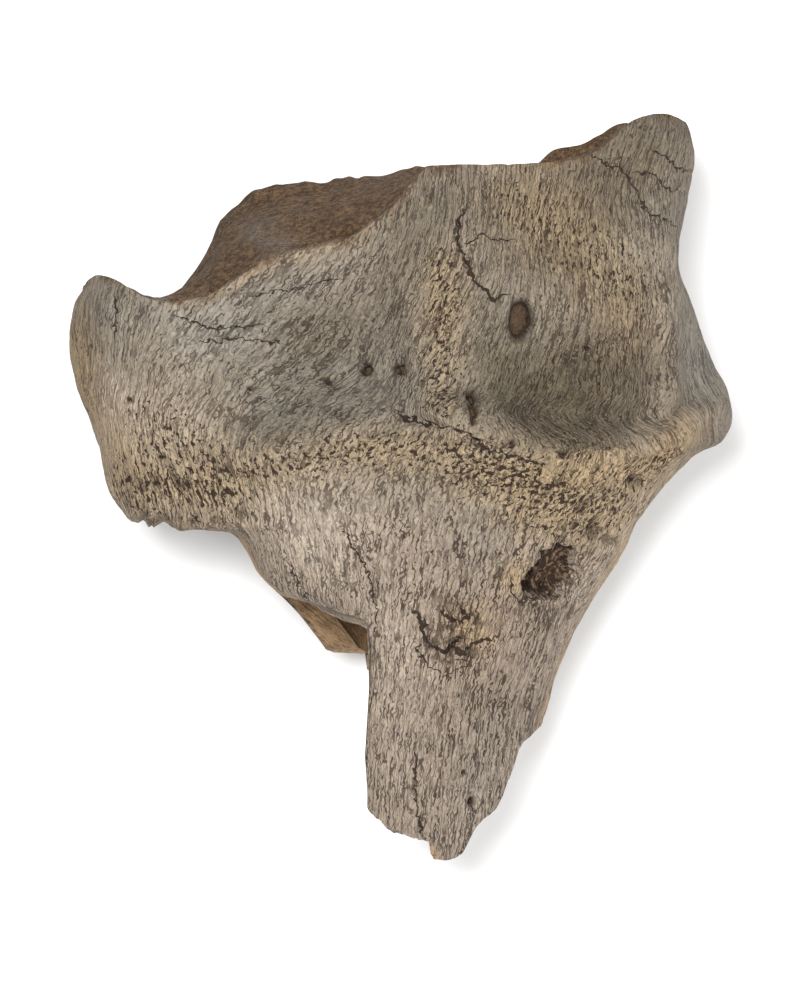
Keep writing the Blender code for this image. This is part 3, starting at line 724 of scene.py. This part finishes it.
def torn_pit(g):
    """Relief and mask of the ragged pit: an oval with an edge shifted by noise, deeper towards its lower
    end, with strands on its floor and a crumbled margin."""
    cx, cy, half_length, half_width, degrees, depth = RAGGED_PIT
    turn = math.radians(degrees)
    dx, dy = g.wx - cx, g.wy - cy
    u = (dx * math.cos(turn) + dy * math.sin(turn)) / half_length
    v = (-dx * math.sin(turn) + dy * math.cos(turn)) / half_width
    crumb = noise(g.rings, 0.75, 94)
    lobes = 0.08 * np.cos(3.0 * np.arctan2(v, u) + 0.7)
    r = np.hypot(u, v) * (1.0 + lobes + 0.22 * g.fine[0] + 0.16 * crumb)
    ragged = smooth(1.02, 0.80, r) * g.face
    strands = noise(g.rings * np.array([1.6, 0.45, 0.4]), 1.0, 93)
    sink = depth * (0.62 - 0.30 * u) + 0.8 * strands + 0.6 * g.pore
    margin = np.maximum(bowl(g.x, g.y, (20.0, -12.6), 2.4, 2.0, 0.0), smooth(1.7, 1.1, r) * (r > 0.9))
    return -ragged * sink - margin * g.face * (0.25 + 0.5 * g.fine[1] + 0.4 * crumb), ragged


def cracked_dent(g, cracks):
    """Relief of the dent and the cracks, and masks of the dent and of the splits between its plates, which
    the finish darkens as painted shade.  Plates stand unequal by the hyperbolic tangent of the distance to a
    crack, and a crack is a bell."""
    cx, cy, half_x, half_y, depth = PUNCTURE
    r = np.hypot((g.wx - cx) / half_x, (g.wy - cy) / half_y)
    dent = smooth(1.1, 0.25, r) * g.face
    first, second, chip = cells(xyz(g.x + 0.3 * g.fine[0], 0.6 * g.y + 0.3 * g.fine[1], 0.0), 2.2, 91)
    gap = smooth(0.14, 0.02, second - first) * smooth(1.2, 0.8, r) * g.face
    plate, cut = 0.0, 0.0
    for field in cracks:
        d, near, width = np.moveaxis(field, -1, 0)
        plate = plate + 0.35 * np.tanh(d / 0.5)
        cut = cut + CRACK_DEPTH * near * width * np.exp(-(d / CRACK_BANK) ** 2)
    return -depth * dent * (0.4 + 0.35 * plate + 1.3 * chip) - 0.3 * gap - cut, dent, gap


def joint_relief(g):
    """Relief of the joint face: dishes and a groove, round pores and torn scars."""
    scars = 0.5 * smooth(0.25, 0.6, noise(g.rings, 5.0, 74)) * (0.6 + 0.8 * noise(g.rings, 1.3, 75))
    pores = 0.22 * smooth(0.5, 0.1, g.to_pore)
    return uneven(g.rings, JOINT_RELIEF) - pores - sunk(g.x, g.z, JOINT_DISHES) - scars


def tints_and_shade(g):
    """Strength of the blue stain, the warm stain, and the darkening that is partly stain and partly painted
    shade in the hollows.
    """
    blue = np.where(g.up, patches(g.wx, g.wy, BLUE), 0.15)
    warm = np.where(g.up, patches(g.wx, g.wy, WARM), 0.3)
    stain_and_shade = np.where(g.up, patches(g.x, g.y, DARK_STAIN_AND_SHADE), 0.1)
    sides = 0.75 * smooth(0.93, 1.0, np.abs(column_of(g.x, g.y))) * (g.y < -8.0)
    rim = 0.3 * np.exp(-(trace(g.x, g.y, FACE_RIM) / 1.5) ** 2) * between(-38.0, -32.0, -2.0, 4.0, g.x)
    margin = 0.9 * smooth(-49.0, -51.5, g.x + 0.8 * g.wobble[1]) * between(2.0, 8.0, 22.0, 30.0, g.y)
    warm = np.maximum(np.maximum(warm, sides), np.maximum(rim, margin) * g.face)
    patch = bowl(g.x, g.y, (-21.5, 40.0), 5.0, 2.6, -35.0) * smooth(-0.5, 0.5, g.fine[0] + 0.4)
    return xyz(blue * g.outside, warm * g.outside + patch * g.joint, stain_and_shade * g.outside)


def brown_parts(g):
    """Masks of the joint brown, which runs raggedly past the rim, of the marrow brown, which also shows
    where the left wall is torn, and of the broken edge."""
    past = trace(g.x, g.y, FACE_RIM) + 1.3 * noise(g.rings, 3.0, 101) + 0.7 * g.fine[0]
    past_rim = smooth(-1.2, 1.4, past)
    all_brown = np.maximum(~g.up, between(-39.0, -35.0, 40.0, 46.0, g.x))
    joint = np.where(g.joint, np.maximum(past_rim, all_brown), past_rim * g.face)
    torn_y = g.y + 2.5 * noise(g.rings, 4.0, 111) + 0.8 * g.fine[0]
    torn_z = g.z + 3.0 * noise(g.rings, 5.0, 112) + 1.0 * g.fine[1]
    torn = smooth(-0.955, -0.985, column_of(g.x, g.y)) * g.outside
    torn = torn * between(-21.0, -19.0, -9.0, -6.0, torn_y) * between(30.0, 33.0, 41.0, 44.0, torn_z)
    return xyz(joint, np.maximum(g.marrow, 0.85 * torn), g.lip.astype(float))


def weather(rings, upper, kind):
    """Relief of the skin in millimetres along its normal, and the named fields that the finish reads."""
    g = Ground(rings, upper, kind)
    crack_x = g.x + CRACK_SHIFT * g.fine[0]
    crack_y = g.y + CRACK_SHIFT * g.fine[1]
    cracks = [crack_field(crack_x, crack_y, group, g.face) for group in (CRACKS_ONE, CRACKS_TWO)]
    under = 0.55 * smooth(0.0, 0.7, noise(rings, 14.0, 41)) * (g.y > 2.0)
    porous = np.where(g.up, most(g.wx, g.wy, POROUS), under) * g.outside
    slots = most(g.wx, g.wy, SLOTS) * g.face
    hole_relief, hole_shade_and_scrape = openings(g)
    pit_relief, ragged = torn_pit(g)
    dent_relief, dent, gap = cracked_dent(g, cracks)

    jagged = 1.3 * noise(xyz(g.x, 0.0, 0.0), 1.25, 57) * bowl(g.x, g.y, (-35.5, -5.2), 9.0, 1.6, 0.0)
    relief = uneven(rings, FACE_RELIEF) + sharp_crests(g) + growth_line(g) + jagged * g.outside
    relief = relief + spongy_relief(g, porous, slots) + hole_relief + pit_relief + dent_relief
    relief = np.where(g.joint, joint_relief(g), relief)
    spongy = np.where(g.blind, 0.9, 0.35) * smooth(-24.0, -12.0, g.y) * g.pore
    relief = np.where(g.marrow, uneven(rings, MARROW_RELIEF) + spongy, relief)
    relief = np.where(g.lip, uneven(rings, LIP_RELIEF), relief)
    row = np.arange(len(rings))
    calm_seams = np.clip(np.minimum(row, len(rings) - 1.0 - row) / 3.0, 0.0, 1.0)

    shaft = smooth(1.5, -3.5, g.y + 3.0 + 0.16 * np.maximum(g.x, 0.0) + 1.2 * g.wobble[0])
    # Lighter places, partly paler bone and partly painted light
    pale = np.where(g.up, patches(g.wx, g.wy, PALE_AND_LIT_PATCHES), 0.2)
    crazed = np.maximum(0.7 * dent, bowl(g.x, g.y, (25.0, -17.5), 6.5, 4.0, 40.0) * g.face)
    return relief * calm_seams[:, None], {
        "tint_and_shade": tints_and_shade(g), "zone": xyz(porous, slots, pale * g.outside), "kinds": brown_parts(g),
        "deep": xyz(hole_shade_and_scrape, ragged, shaft * g.outside), "rub": xyz(smooth(2.0, 0.0, g.z), crazed, gap),
        "crack_one": cracks[0], "crack_two": cracks[1]}


def skin_mesh(name, rings, fields, flow, top_steps):
    """Closed mesh of the rings: four-sided faces between neighbouring rings, and each end ring zipped
    onto a seam that its upper and lower half share.  The fields are kept on points, the flow on corners."""
    count, around = rings.shape[:2]
    keep = np.ones((count, around), bool)
    keep[0, top_steps + 1:] = False
    keep[-1, top_steps + 1:] = False
    index = np.cumsum(keep.ravel()).reshape(count, around) - 1
    r = np.arange(1, count - 2)[:, None]
    i = np.arange(around)[None, :]
    j = (i + 1) % around
    quads = np.stack([index[r, i], index[r + 1, i], index[r + 1, j], index[r, j]], axis=-1).reshape(-1, 4)
    low_ring = np.concatenate([[top_steps], np.arange(top_steps + 1, around), [0]])
    low_seam = np.arange(top_steps, -1, -COLUMN_RATIO)
    faces = quads.tolist()
    for ring, seam, flip in ((1, 0, False), (count - 2, count - 1, True)):
        k = np.arange(top_steps)
        top = np.stack([index[ring, k], index[ring, k + 1], index[seam, k + 1], index[seam, k]], axis=-1)
        between_seams = [index[seam, low_seam[1:] + n] for n in range(COLUMN_RATIO + 1)]
        low = np.stack([index[ring, low_ring[:-1]], index[ring, low_ring[1:]]] + between_seams, axis=-1)
        for group in (top, low):
            faces.extend((group[:, ::-1] if flip else group).tolist())
    mesh = bpy.data.meshes.new(name)
    mesh.from_pydata(rings[keep].tolist(), [], faces)
    mesh.update()
    for label, values in fields.items():
        layer = mesh.attributes.new(label, "FLOAT_VECTOR", "POINT")
        layer.data.foreach_set("vector", values[keep].astype(np.float32).ravel())
    corners = np.stack([part[1:count - 2] for part in flow], axis=2).reshape(-1, 3)
    by_point = np.concatenate([flow[0], flow[1][-1:]])[keep]
    point_of = np.empty(len(mesh.loops), np.int32)
    mesh.loops.foreach_get("vertex_index", point_of)
    corners = np.concatenate([corners, by_point[point_of[quads.size:]]])
    layer = mesh.attributes.new("flow", "FLOAT_VECTOR", "CORNER")
    layer.data.foreach_set("vector", corners.astype(np.float32).ravel())
    mesh.shade_smooth()
    mesh.set_sharp_from_angle(angle=math.radians(SHARP_TURN))
    return mesh


class Wire:
    """A node socket that can stand in arithmetic; each operator adds one Math or Vector Math node."""

    def __init__(self, finish, socket):
        self.finish = finish
        self.socket = socket

    def vector(self):
        """True where the socket carries three numbers."""
        return self.socket.type in {"VECTOR", "RGBA"}

    def join(self, operation, other, turned=False):
        """The operation on this wire and the other value, or on both the other way round."""
        kind = "ShaderNodeMath"
        pair = (other, self) if turned else (self, other)
        if self.vector() or (isinstance(other, Wire) and other.vector()):
            pair = [(v,) * 3 if isinstance(v, (int, float)) else v for v in pair]
            kind = "ShaderNodeVectorMath"
        return self.finish.add(kind, {"operation": operation}, {0: pair[0], 1: pair[1]}).out(0)

    def __add__(self, other):
        return self.join("ADD", other)

    def __radd__(self, other):
        return self.join("ADD", other, True)

    def __sub__(self, other):
        return self.join("SUBTRACT", other)

    def __rsub__(self, other):
        return self.join("SUBTRACT", other, True)

    def __mul__(self, other):
        return self.join("MULTIPLY", other)

    def __rmul__(self, other):
        return self.join("MULTIPLY", other, True)

    def __truediv__(self, other):
        return self.join("DIVIDE", other)

    def most(self, other):
        return self.join("MAXIMUM", other)

    def least(self, other):
        return self.join("MINIMUM", other)

    def size(self):
        """The value without its sign."""
        return self.finish.add("ShaderNodeMath", {"operation": "ABSOLUTE"}, {0: self}).out(0)

    def step(self, low, high):
        """0 at low, 1 at high and a smooth cubic step between."""
        sockets = {"Value": self, "From Min": low, "From Max": high, "To Min": 0.0, "To Max": 1.0}
        made = self.finish.add("ShaderNodeMapRange", {"interpolation_type": "SMOOTHSTEP"}, sockets)
        return made.out(0)

    def parts(self):
        """The three numbers of a vector, each as a wire."""
        made = self.finish.add("ShaderNodeSeparateXYZ", {}, {0: self})
        return made.out(0), made.out(1), made.out(2)


class Made:
    """A node that was added, with its outputs as wires."""

    def __init__(self, finish, node):
        self.finish = finish
        self.node = node

    def out(self, key):
        return Wire(self.finish, self.node.outputs[key])


class Finish:
    """The node tree of one material."""

    def __init__(self, name):
        self.material = bpy.data.materials.new(name)
        self.material.use_nodes = True
        self.tree = self.material.node_tree
        self.shader = self.tree.nodes["Principled BSDF"]

    def add(self, kind, settings, sockets):
        """A node of the kind, with its settings made first and then its sockets set or linked."""
        node = self.tree.nodes.new(kind)
        for key, value in settings.items():
            setattr(node, key, value)
        for key, value in sockets.items():
            if isinstance(value, Wire):
                self.tree.links.new(value.socket, node.inputs[key])
            else:
                node.inputs[key].default_value = value
        return Made(self, node)

    def place(self):
        """Place on the object in millimetres."""
        return self.add("ShaderNodeTexCoord", {}, {}).out("Object") * 1000.0

    def field(self, name):
        return self.add("ShaderNodeAttribute", {"attribute_name": name}, {}).out("Vector")

    def noise(self, place, size, detail=2.0, rough=0.5):
        sockets = {"Vector": place, "Scale": 1.0 / size, "Detail": detail, "Roughness": rough}
        return self.add("ShaderNodeTexNoise", {"noise_dimensions": "3D"}, sockets).out(0)

    def tangle(self, place, size):
        """Three noises at once, as a vector."""
        sockets = {"Vector": place, "Scale": 1.0 / size, "Detail": 1.0, "Roughness": 0.6}
        return self.add("ShaderNodeTexNoise", {"noise_dimensions": "3D"}, sockets).out(1)

    def mix(self, factor, one, two):
        """Colour one where the factor is 0, colour two where it is 1."""
        one, two = [c if isinstance(c, Wire) else (*c, 1.0) for c in (one, two)]
        return self.add("ShaderNodeMix", {"data_type": "RGBA"}, {0: factor, 6: one, 7: two}).out(2)

    def shade(self, colour, factor):
        """Colour times a value."""
        grey = self.add("ShaderNodeCombineXYZ", {}, {0: factor, 1: factor, 2: factor}).out(0)
        return self.add("ShaderNodeVectorMath", {"operation": "MULTIPLY"}, {0: colour, 1: grey}).out(0)

    def fibres(self, flow, wide, long, detail=2.0, rough=0.6):
        """Noise about 0 drawn out along the grain: the flow is divided by the width and the length."""
        return self.noise(flow * (1.0 / wide, 1.0 / long, 1.0 / wide), 1.0, detail, rough) - 0.5


def bone_finish(look, size):
    """Weathered bone: stained ground colours with painted shade in the hollows, grain, veins and open pores
    that follow the flow, traced cracks, crevices painted with shade, brown joint face and marrow side."""
    f = Finish("weathered_bone")
    p = f.place()
    blue, warm, stain_and_shade = f.field("tint_and_shade").parts()
    porous, slots, pale = f.field("zone").parts()
    joint, marrow, lip = f.field("kinds").parts()
    hole_shade_and_scrape, ragged, shaft = f.field("deep").parts()
    ground, dent, dented = f.field("rub").parts()
    cap_grey = joint * warm

    broad = f.noise(p, 11.0, 2.0)
    medium = f.noise(p, 2.4, 2.0)
    tiny = f.noise(p, 0.30, 1.0, 0.6)
    grit = f.noise(p, 0.9, 1.0, 0.6)

    # Ground colours, with painted shade in the hollows and lighter places that are partly painted light
    colour = f.mix(shaft, look.face_grey, look.shaft_tan)
    # Painted light, partly paler bone: lighter places on faces turned toward the light
    colour = f.mix(pale.most(0.0) * (0.6 + 0.4 * medium), colour, look.pale)
    colour = f.mix((blue * (0.35 + medium)).least(1.0), colour, look.blue_grey)
    colour = f.mix((warm * (0.3 + 1.1 * grit)).least(1.0), colour, look.warm_tan)
    # Painted shade, partly stain: the hollows and the faces turned away from the light darkened towards
    # brown
    colour = f.mix((stain_and_shade * (0.5 + 0.6 * medium)).least(1.0), colour, look.stain_and_shade_brown)
    colour = f.shade(colour, 0.72 + 0.56 * broad)
    colour = f.mix(grit.step(0.5, 0.8) * 0.25, colour, look.warm_tan)

    # Joint face, marrow side and broken edge
    joint_colour = f.mix(grit.step(0.3, 0.75), look.joint_brown, look.joint_tan)
    joint_colour = f.mix(tiny.step(0.62, 0.78) * 0.5, joint_colour, look.band_tan)
    joint_colour = f.mix(cap_grey * (0.55 + 0.9 * grit), joint_colour, look.shaft_tan)
    joint_colour = f.shade(joint_colour, 0.35 + 1.1 * medium)
    colour = f.mix(joint, colour, joint_colour)
    marrow_colour = f.mix(medium, look.marrow_brown, look.marrow_tan)
    colour = f.mix(marrow, colour, marrow_colour)
    colour = f.mix(lip, colour, f.mix(medium.step(0.35, 0.65), look.marrow_brown, look.marrow_tan))

    # Grain across and along the flow, from the finest to the longest
    weave = size.pore_scale
    drift = f.tangle(p, 1.1) - (0.5, 0.5, 0.5)
    bent = f.field("flow") + drift * (0.75, 0.9, 0.75)
    weft = f.fibres(bent, 0.25 * weave, 2.70 * weave, 1.5, 0.6)
    warp = f.fibres(bent, 0.55 * weave, 1.05 * weave, 2.0, 0.6)
    vein = f.fibres(bent, 0.70 * weave, 7.50 * weave, 1.0, 0.5)
    strokes = weft.step(-0.125, -0.165)
    open_zone = porous.most(slots)
    holes = (warp + 0.19 - 0.20 * open_zone).step(-0.012, -0.045) * open_zone.step(0.05, 0.4)
    breaks = f.noise(p, 5.0, 1.0)
    net = vein.size().step(0.050, 0.022) * (0.60 + 0.40 * breaks.step(0.38, 0.56))
    craze = (warp - 0.05).size().step(0.050, 0.018)

    # Traced cracks
    def crack(name, shift):
        d, near, half = f.field(name).parts()
        return ((d + shift * 1.9).size() / (half * (2.2 * grit).most(0.45))).step(1.2, 0.6) * near

    drift_x, drift_y, _ = drift.parts()
    cracks = crack("crack_one", drift_x).most(crack("crack_two", drift_y))

    # Painted shade in the crevices, partly dirt: grain strokes, veins, crazing, open pores, cracks and the
    # splits of the dent darkened over the ground colours
    calm = (0.80 + 0.20 * shaft) * (1.0 - 0.40 * pale)
    gap_shade = strokes * (0.86 + 0.1 * stain_and_shade - 0.40 * joint) * (1.0 - marrow) * calm
    crackle = (0.12 + 0.88 * dent).most(0.75 * cap_grey)
    gap_shade = gap_shade.most(net * (0.90 - 0.6 * joint - 0.7 * marrow) * calm)
    gap_shade = gap_shade.most(craze * crackle).most(holes * 0.97)
    gap_shade = gap_shade.most(cracks * 0.97).most(dented * 0.8)
    colour = f.mix((open_zone * (0.30 + 0.35 * warp.step(-0.02, 0.12))).least(1.0), colour, look.band_tan)
    # Grain, partly painted shade and highlight of the fine relief: darker in the grooves, lighter on the
    # raised fibres
    grain_light_and_shade = (1.0 + weft.least(0.0) * 2.4 + weft.most(0.0) * 1.5).most(0.35).least(1.45)
    colour = f.shade(colour, (0.89 + 0.22 * tiny) * grain_light_and_shade)
    # Painted shade, partly dirt: the crevices take the deep brown of shade
    colour = f.mix((gap_shade * (1.0 - 0.5 * marrow)).least(1.0), colour, look.pore_shade_brown)

    # Pit and openings painted with shade inside, and the rubbed ground side
    # Painted shade in the ragged pit, over the brown of its torn bone
    pit_shade_colour = f.mix(warp.step(-0.02, 0.14), look.pore_shade_brown, look.pit_brown)
    pit_edge = (ragged + (grit - 0.5) * 0.8 + drift_x * 0.7).step(0.35, 0.60)
    # Painted shade inside the openings, and the brown of the scraped bone
    hole_shade_colour = f.mix(hole_shade_and_scrape.step(0.85, 1.0) * (0.25 + 0.5 * grit), look.pore_shade_brown, look.pit_brown)
    colour = f.mix((hole_shade_and_scrape * 1.2).least(1.0), colour, hole_shade_colour)
    colour = f.mix(pit_edge, colour, pit_shade_colour)
    colour = f.mix(ground * 0.4, colour, look.warm_tan)

    # Fine relief and dullness
    height = grit * 0.14 + weft * 0.65 + warp * (0.45 + 1.1 * open_zone + 1.0 * joint)
    height = height - net * 0.08 - cracks * 0.5
    bump = f.add("ShaderNodeBump", {}, {"Strength": size.bump, "Distance": 0.001, "Height": height}).out(0)
    f.tree.links.new(colour.socket, f.shader.inputs["Base Color"])
    f.tree.links.new(bump.socket, f.shader.inputs["Normal"])
    rough = 0.82 + 0.12 * tiny
    f.tree.links.new(rough.socket, f.shader.inputs["Roughness"])
    f.shader.inputs["Specular IOR Level"].default_value = 0.25
    return f.material


def floor_finish(look):
    """Matt pale card with the faintest grain."""
    f = Finish("pale_floor")
    p = f.place()
    colour = f.mix(f.noise(p, 40.0), look.floor, tuple(0.985 * c for c in look.floor))
    f.tree.links.new(colour.socket, f.shader.inputs["Base Color"])
    f.shader.inputs["Roughness"].default_value = 0.9
    f.shader.inputs["Specular IOR Level"].default_value = 0.1
    return f.material


def colour_property(name, description, value):
    """Colour that a user can change."""
    return FloatVectorProperty(name=name, description=description, default=value, subtype="COLOR")


class BoneSizes(bpy.types.PropertyGroup):
    """Sizes of the skin and its surface."""
    columns: IntProperty(name="Columns", description="Columns over the upper face", default=246, min=24,
                         step=COLUMN_RATIO)
    pore_scale: FloatProperty(name="Pore scale", description="Size of the pores against the real ones",
                              default=1.0)
    bump: FloatProperty(name="Bump", description="Strength of the fine relief", default=0.9,
                        subtype="FACTOR")


class BoneLooks(bpy.types.PropertyGroup):
    """Colours of the bone and the floor."""
    shaft_tan: colour_property("Shaft", "Shaft below the growth line", (0.222, 0.175, 0.134))
    face_grey: colour_property("Face", "Hollowed face of the joint end", (0.212, 0.176, 0.135))
    blue_grey: colour_property("Blue grey", "Smooth grey places", (0.215, 0.203, 0.177))
    warm_tan: colour_property("Warm tan", "Stained ridges and margins", (0.36, 0.245, 0.132))
    # Colour of the lighter places, partly paler bone and partly painted light
    pale: colour_property("Pale", "Bleached places", (0.42, 0.352, 0.282))
    joint_brown: colour_property("Joint brown", "Worn joint face", (0.080, 0.043, 0.020))
    joint_tan: colour_property("Joint tan", "Grains of the joint face", (0.215, 0.128, 0.062))
    marrow_brown: colour_property("Marrow brown", "Inner wall", (0.320, 0.205, 0.110))
    marrow_tan: colour_property("Marrow tan", "Inner wall, lighter", (0.48, 0.315, 0.175))
    # Deep brown of the painted shade in pores and cracks, partly dirt
    pore_shade_brown: colour_property("Pore", "Inside of pores and cracks", (0.026, 0.014, 0.008))
    # Brown inside the pits and openings, with painted shade
    pit_brown: colour_property("Pit", "Inside of the pits", (0.150, 0.098, 0.058))
    # Brown of the stain and of the painted shade in the hollows
    stain_and_shade_brown: colour_property("Shade brown", "Stained hollows", (0.095, 0.076, 0.047))
    band_tan: colour_property("Band tan", "Walls between the open pores", (0.385, 0.292, 0.172))
    floor: colour_property("Floor", "Card under the bone", (0.90, 0.90, 0.90))


class BoneStage(bpy.types.PropertyGroup):
    """Camera and lights."""
    height: FloatProperty(name="Camera height", description="Camera above the floor", default=1.5,
                          unit="LENGTH")
    view_width: FloatProperty(name="View width", description="Width seen at the bone's middle",
                              default=0.128, unit="LENGTH")
    key: FloatProperty(name="Key light", description="Power of the large light", default=15.0, unit="POWER")
    fill: FloatProperty(name="Fill", description="Strength of the surroundings", default=0.62)


class BONE_OT_skin(bpy.types.Operator):
    """Build the skin of the bone over its solid"""
    bl_idname = "bone.skin"
    bl_label = "Build bone skin"

    def execute(self, context):
        size = context.scene.bone_sizes
        steps = size.columns // COLUMN_RATIO * COLUMN_RATIO
        rings, upper, kind = bone_rings(steps)
        relief, fields = weather(rings, upper, kind)
        flow = flow_corners(rings, kind, steps)
        points = (rings + outward(rings) * relief[..., None] - HOME) * MM
        points = np.clip(points, *np.array(CAD_BOX))
        mesh = skin_mesh("bone_skin", points, fields, flow, steps)
        skin = bpy.data.objects.new("bone_skin", mesh)
        context.scene.collection.objects.link(skin)
        mesh.materials.append(bone_finish(context.scene.bone_looks, size))
        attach(skin, "root")
        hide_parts("bone")
        return {"FINISHED"}


class BONE_OT_stage(bpy.types.Operator):
    """Lay the floor, hang the lights and set the camera above the bone"""
    bl_idname = "bone.stage"
    bl_label = "Build stage"

    def execute(self, context):
        scene = context.scene
        stage = scene.bone_stage
        mesh = bpy.data.meshes.new("floor")
        signs = ((-1.0, -1.0), (1.0, -1.0), (1.0, 1.0), (-1.0, 1.0))
        corners = [(sx * FLOOR_HALF, sy * FLOOR_HALF, 0.0) for sx, sy in signs]
        mesh.from_pydata(corners, [], [(0, 1, 2, 3)])
        floor = bpy.data.objects.new("floor", mesh)
        scene.collection.objects.link(floor)
        mesh.materials.append(floor_finish(scene.bone_looks))

        for name, spot, share, wide in LAMPS:
            data = bpy.data.lights.new(name, "AREA")
            data.energy = stage.key * share
            data.size = wide
            lamp = bpy.data.objects.new(name, data)
            scene.collection.objects.link(lamp)
            lamp.location = spot
            aim = Vector(LAMP_TARGET) - Vector(spot)
            lamp.rotation_euler = aim.to_track_quat("-Z", "Y").to_euler()

        world = bpy.data.worlds.new("studio")
        world.use_nodes = True
        world.node_tree.nodes["Background"].inputs["Color"].default_value = (1.0, 1.0, 1.0, 1.0)
        world.node_tree.nodes["Background"].inputs["Strength"].default_value = stage.fill
        scene.world = world
        scene.view_settings.view_transform = "Standard"

        camera = bpy.data.cameras.new("camera")
        camera.sensor_width = 36.0
        middle = Vector(VIEW_MIDDLE)
        reach = stage.height - middle.z
        tall = stage.view_width * VIEW_SHAPE
        camera.lens = camera.sensor_width * reach / tall
        camera.clip_end = 20.0
        eye = bpy.data.objects.new("camera", camera)
        scene.collection.objects.link(eye)
        eye.location = (middle.x, middle.y, stage.height)
        eye.rotation_euler = (0.0, 0.0, 0.0)
        scene.camera = eye
        return {"FINISHED"}


class BONE_PT_panel(bpy.types.Panel):
    """Lists the builders and their properties"""
    bl_idname = "BONE_PT_panel"
    bl_label = "Cow bone fragment"
    bl_space_type = "VIEW_3D"
    bl_region_type = "UI"
    bl_category = "Bone"

    def draw(self, context):
        layout = self.layout
        layout.operator(BONE_OT_skin.bl_idname)
        layout.operator(BONE_OT_stage.bl_idname)
        for group in (context.scene.bone_sizes, context.scene.bone_looks, context.scene.bone_stage):
            for key in group.__annotations__:
                layout.prop(group, key)


CLASSES = (BoneSizes, BoneLooks, BoneStage, BONE_OT_skin, BONE_OT_stage, BONE_PT_panel)


def register():
    for item in CLASSES:
        bpy.utils.register_class(item)
    bpy.types.Scene.bone_sizes = PointerProperty(type=BoneSizes)
    bpy.types.Scene.bone_looks = PointerProperty(type=BoneLooks)
    bpy.types.Scene.bone_stage = PointerProperty(type=BoneStage)


def unregister():
    del bpy.types.Scene.bone_sizes
    del bpy.types.Scene.bone_looks
    del bpy.types.Scene.bone_stage
    for item in reversed(CLASSES):
        bpy.utils.unregister_class(item)


def main():
    register()
    bpy.ops.bone.stage()
    bpy.ops.bone.skin()


if __name__ == "__main__":
    main()
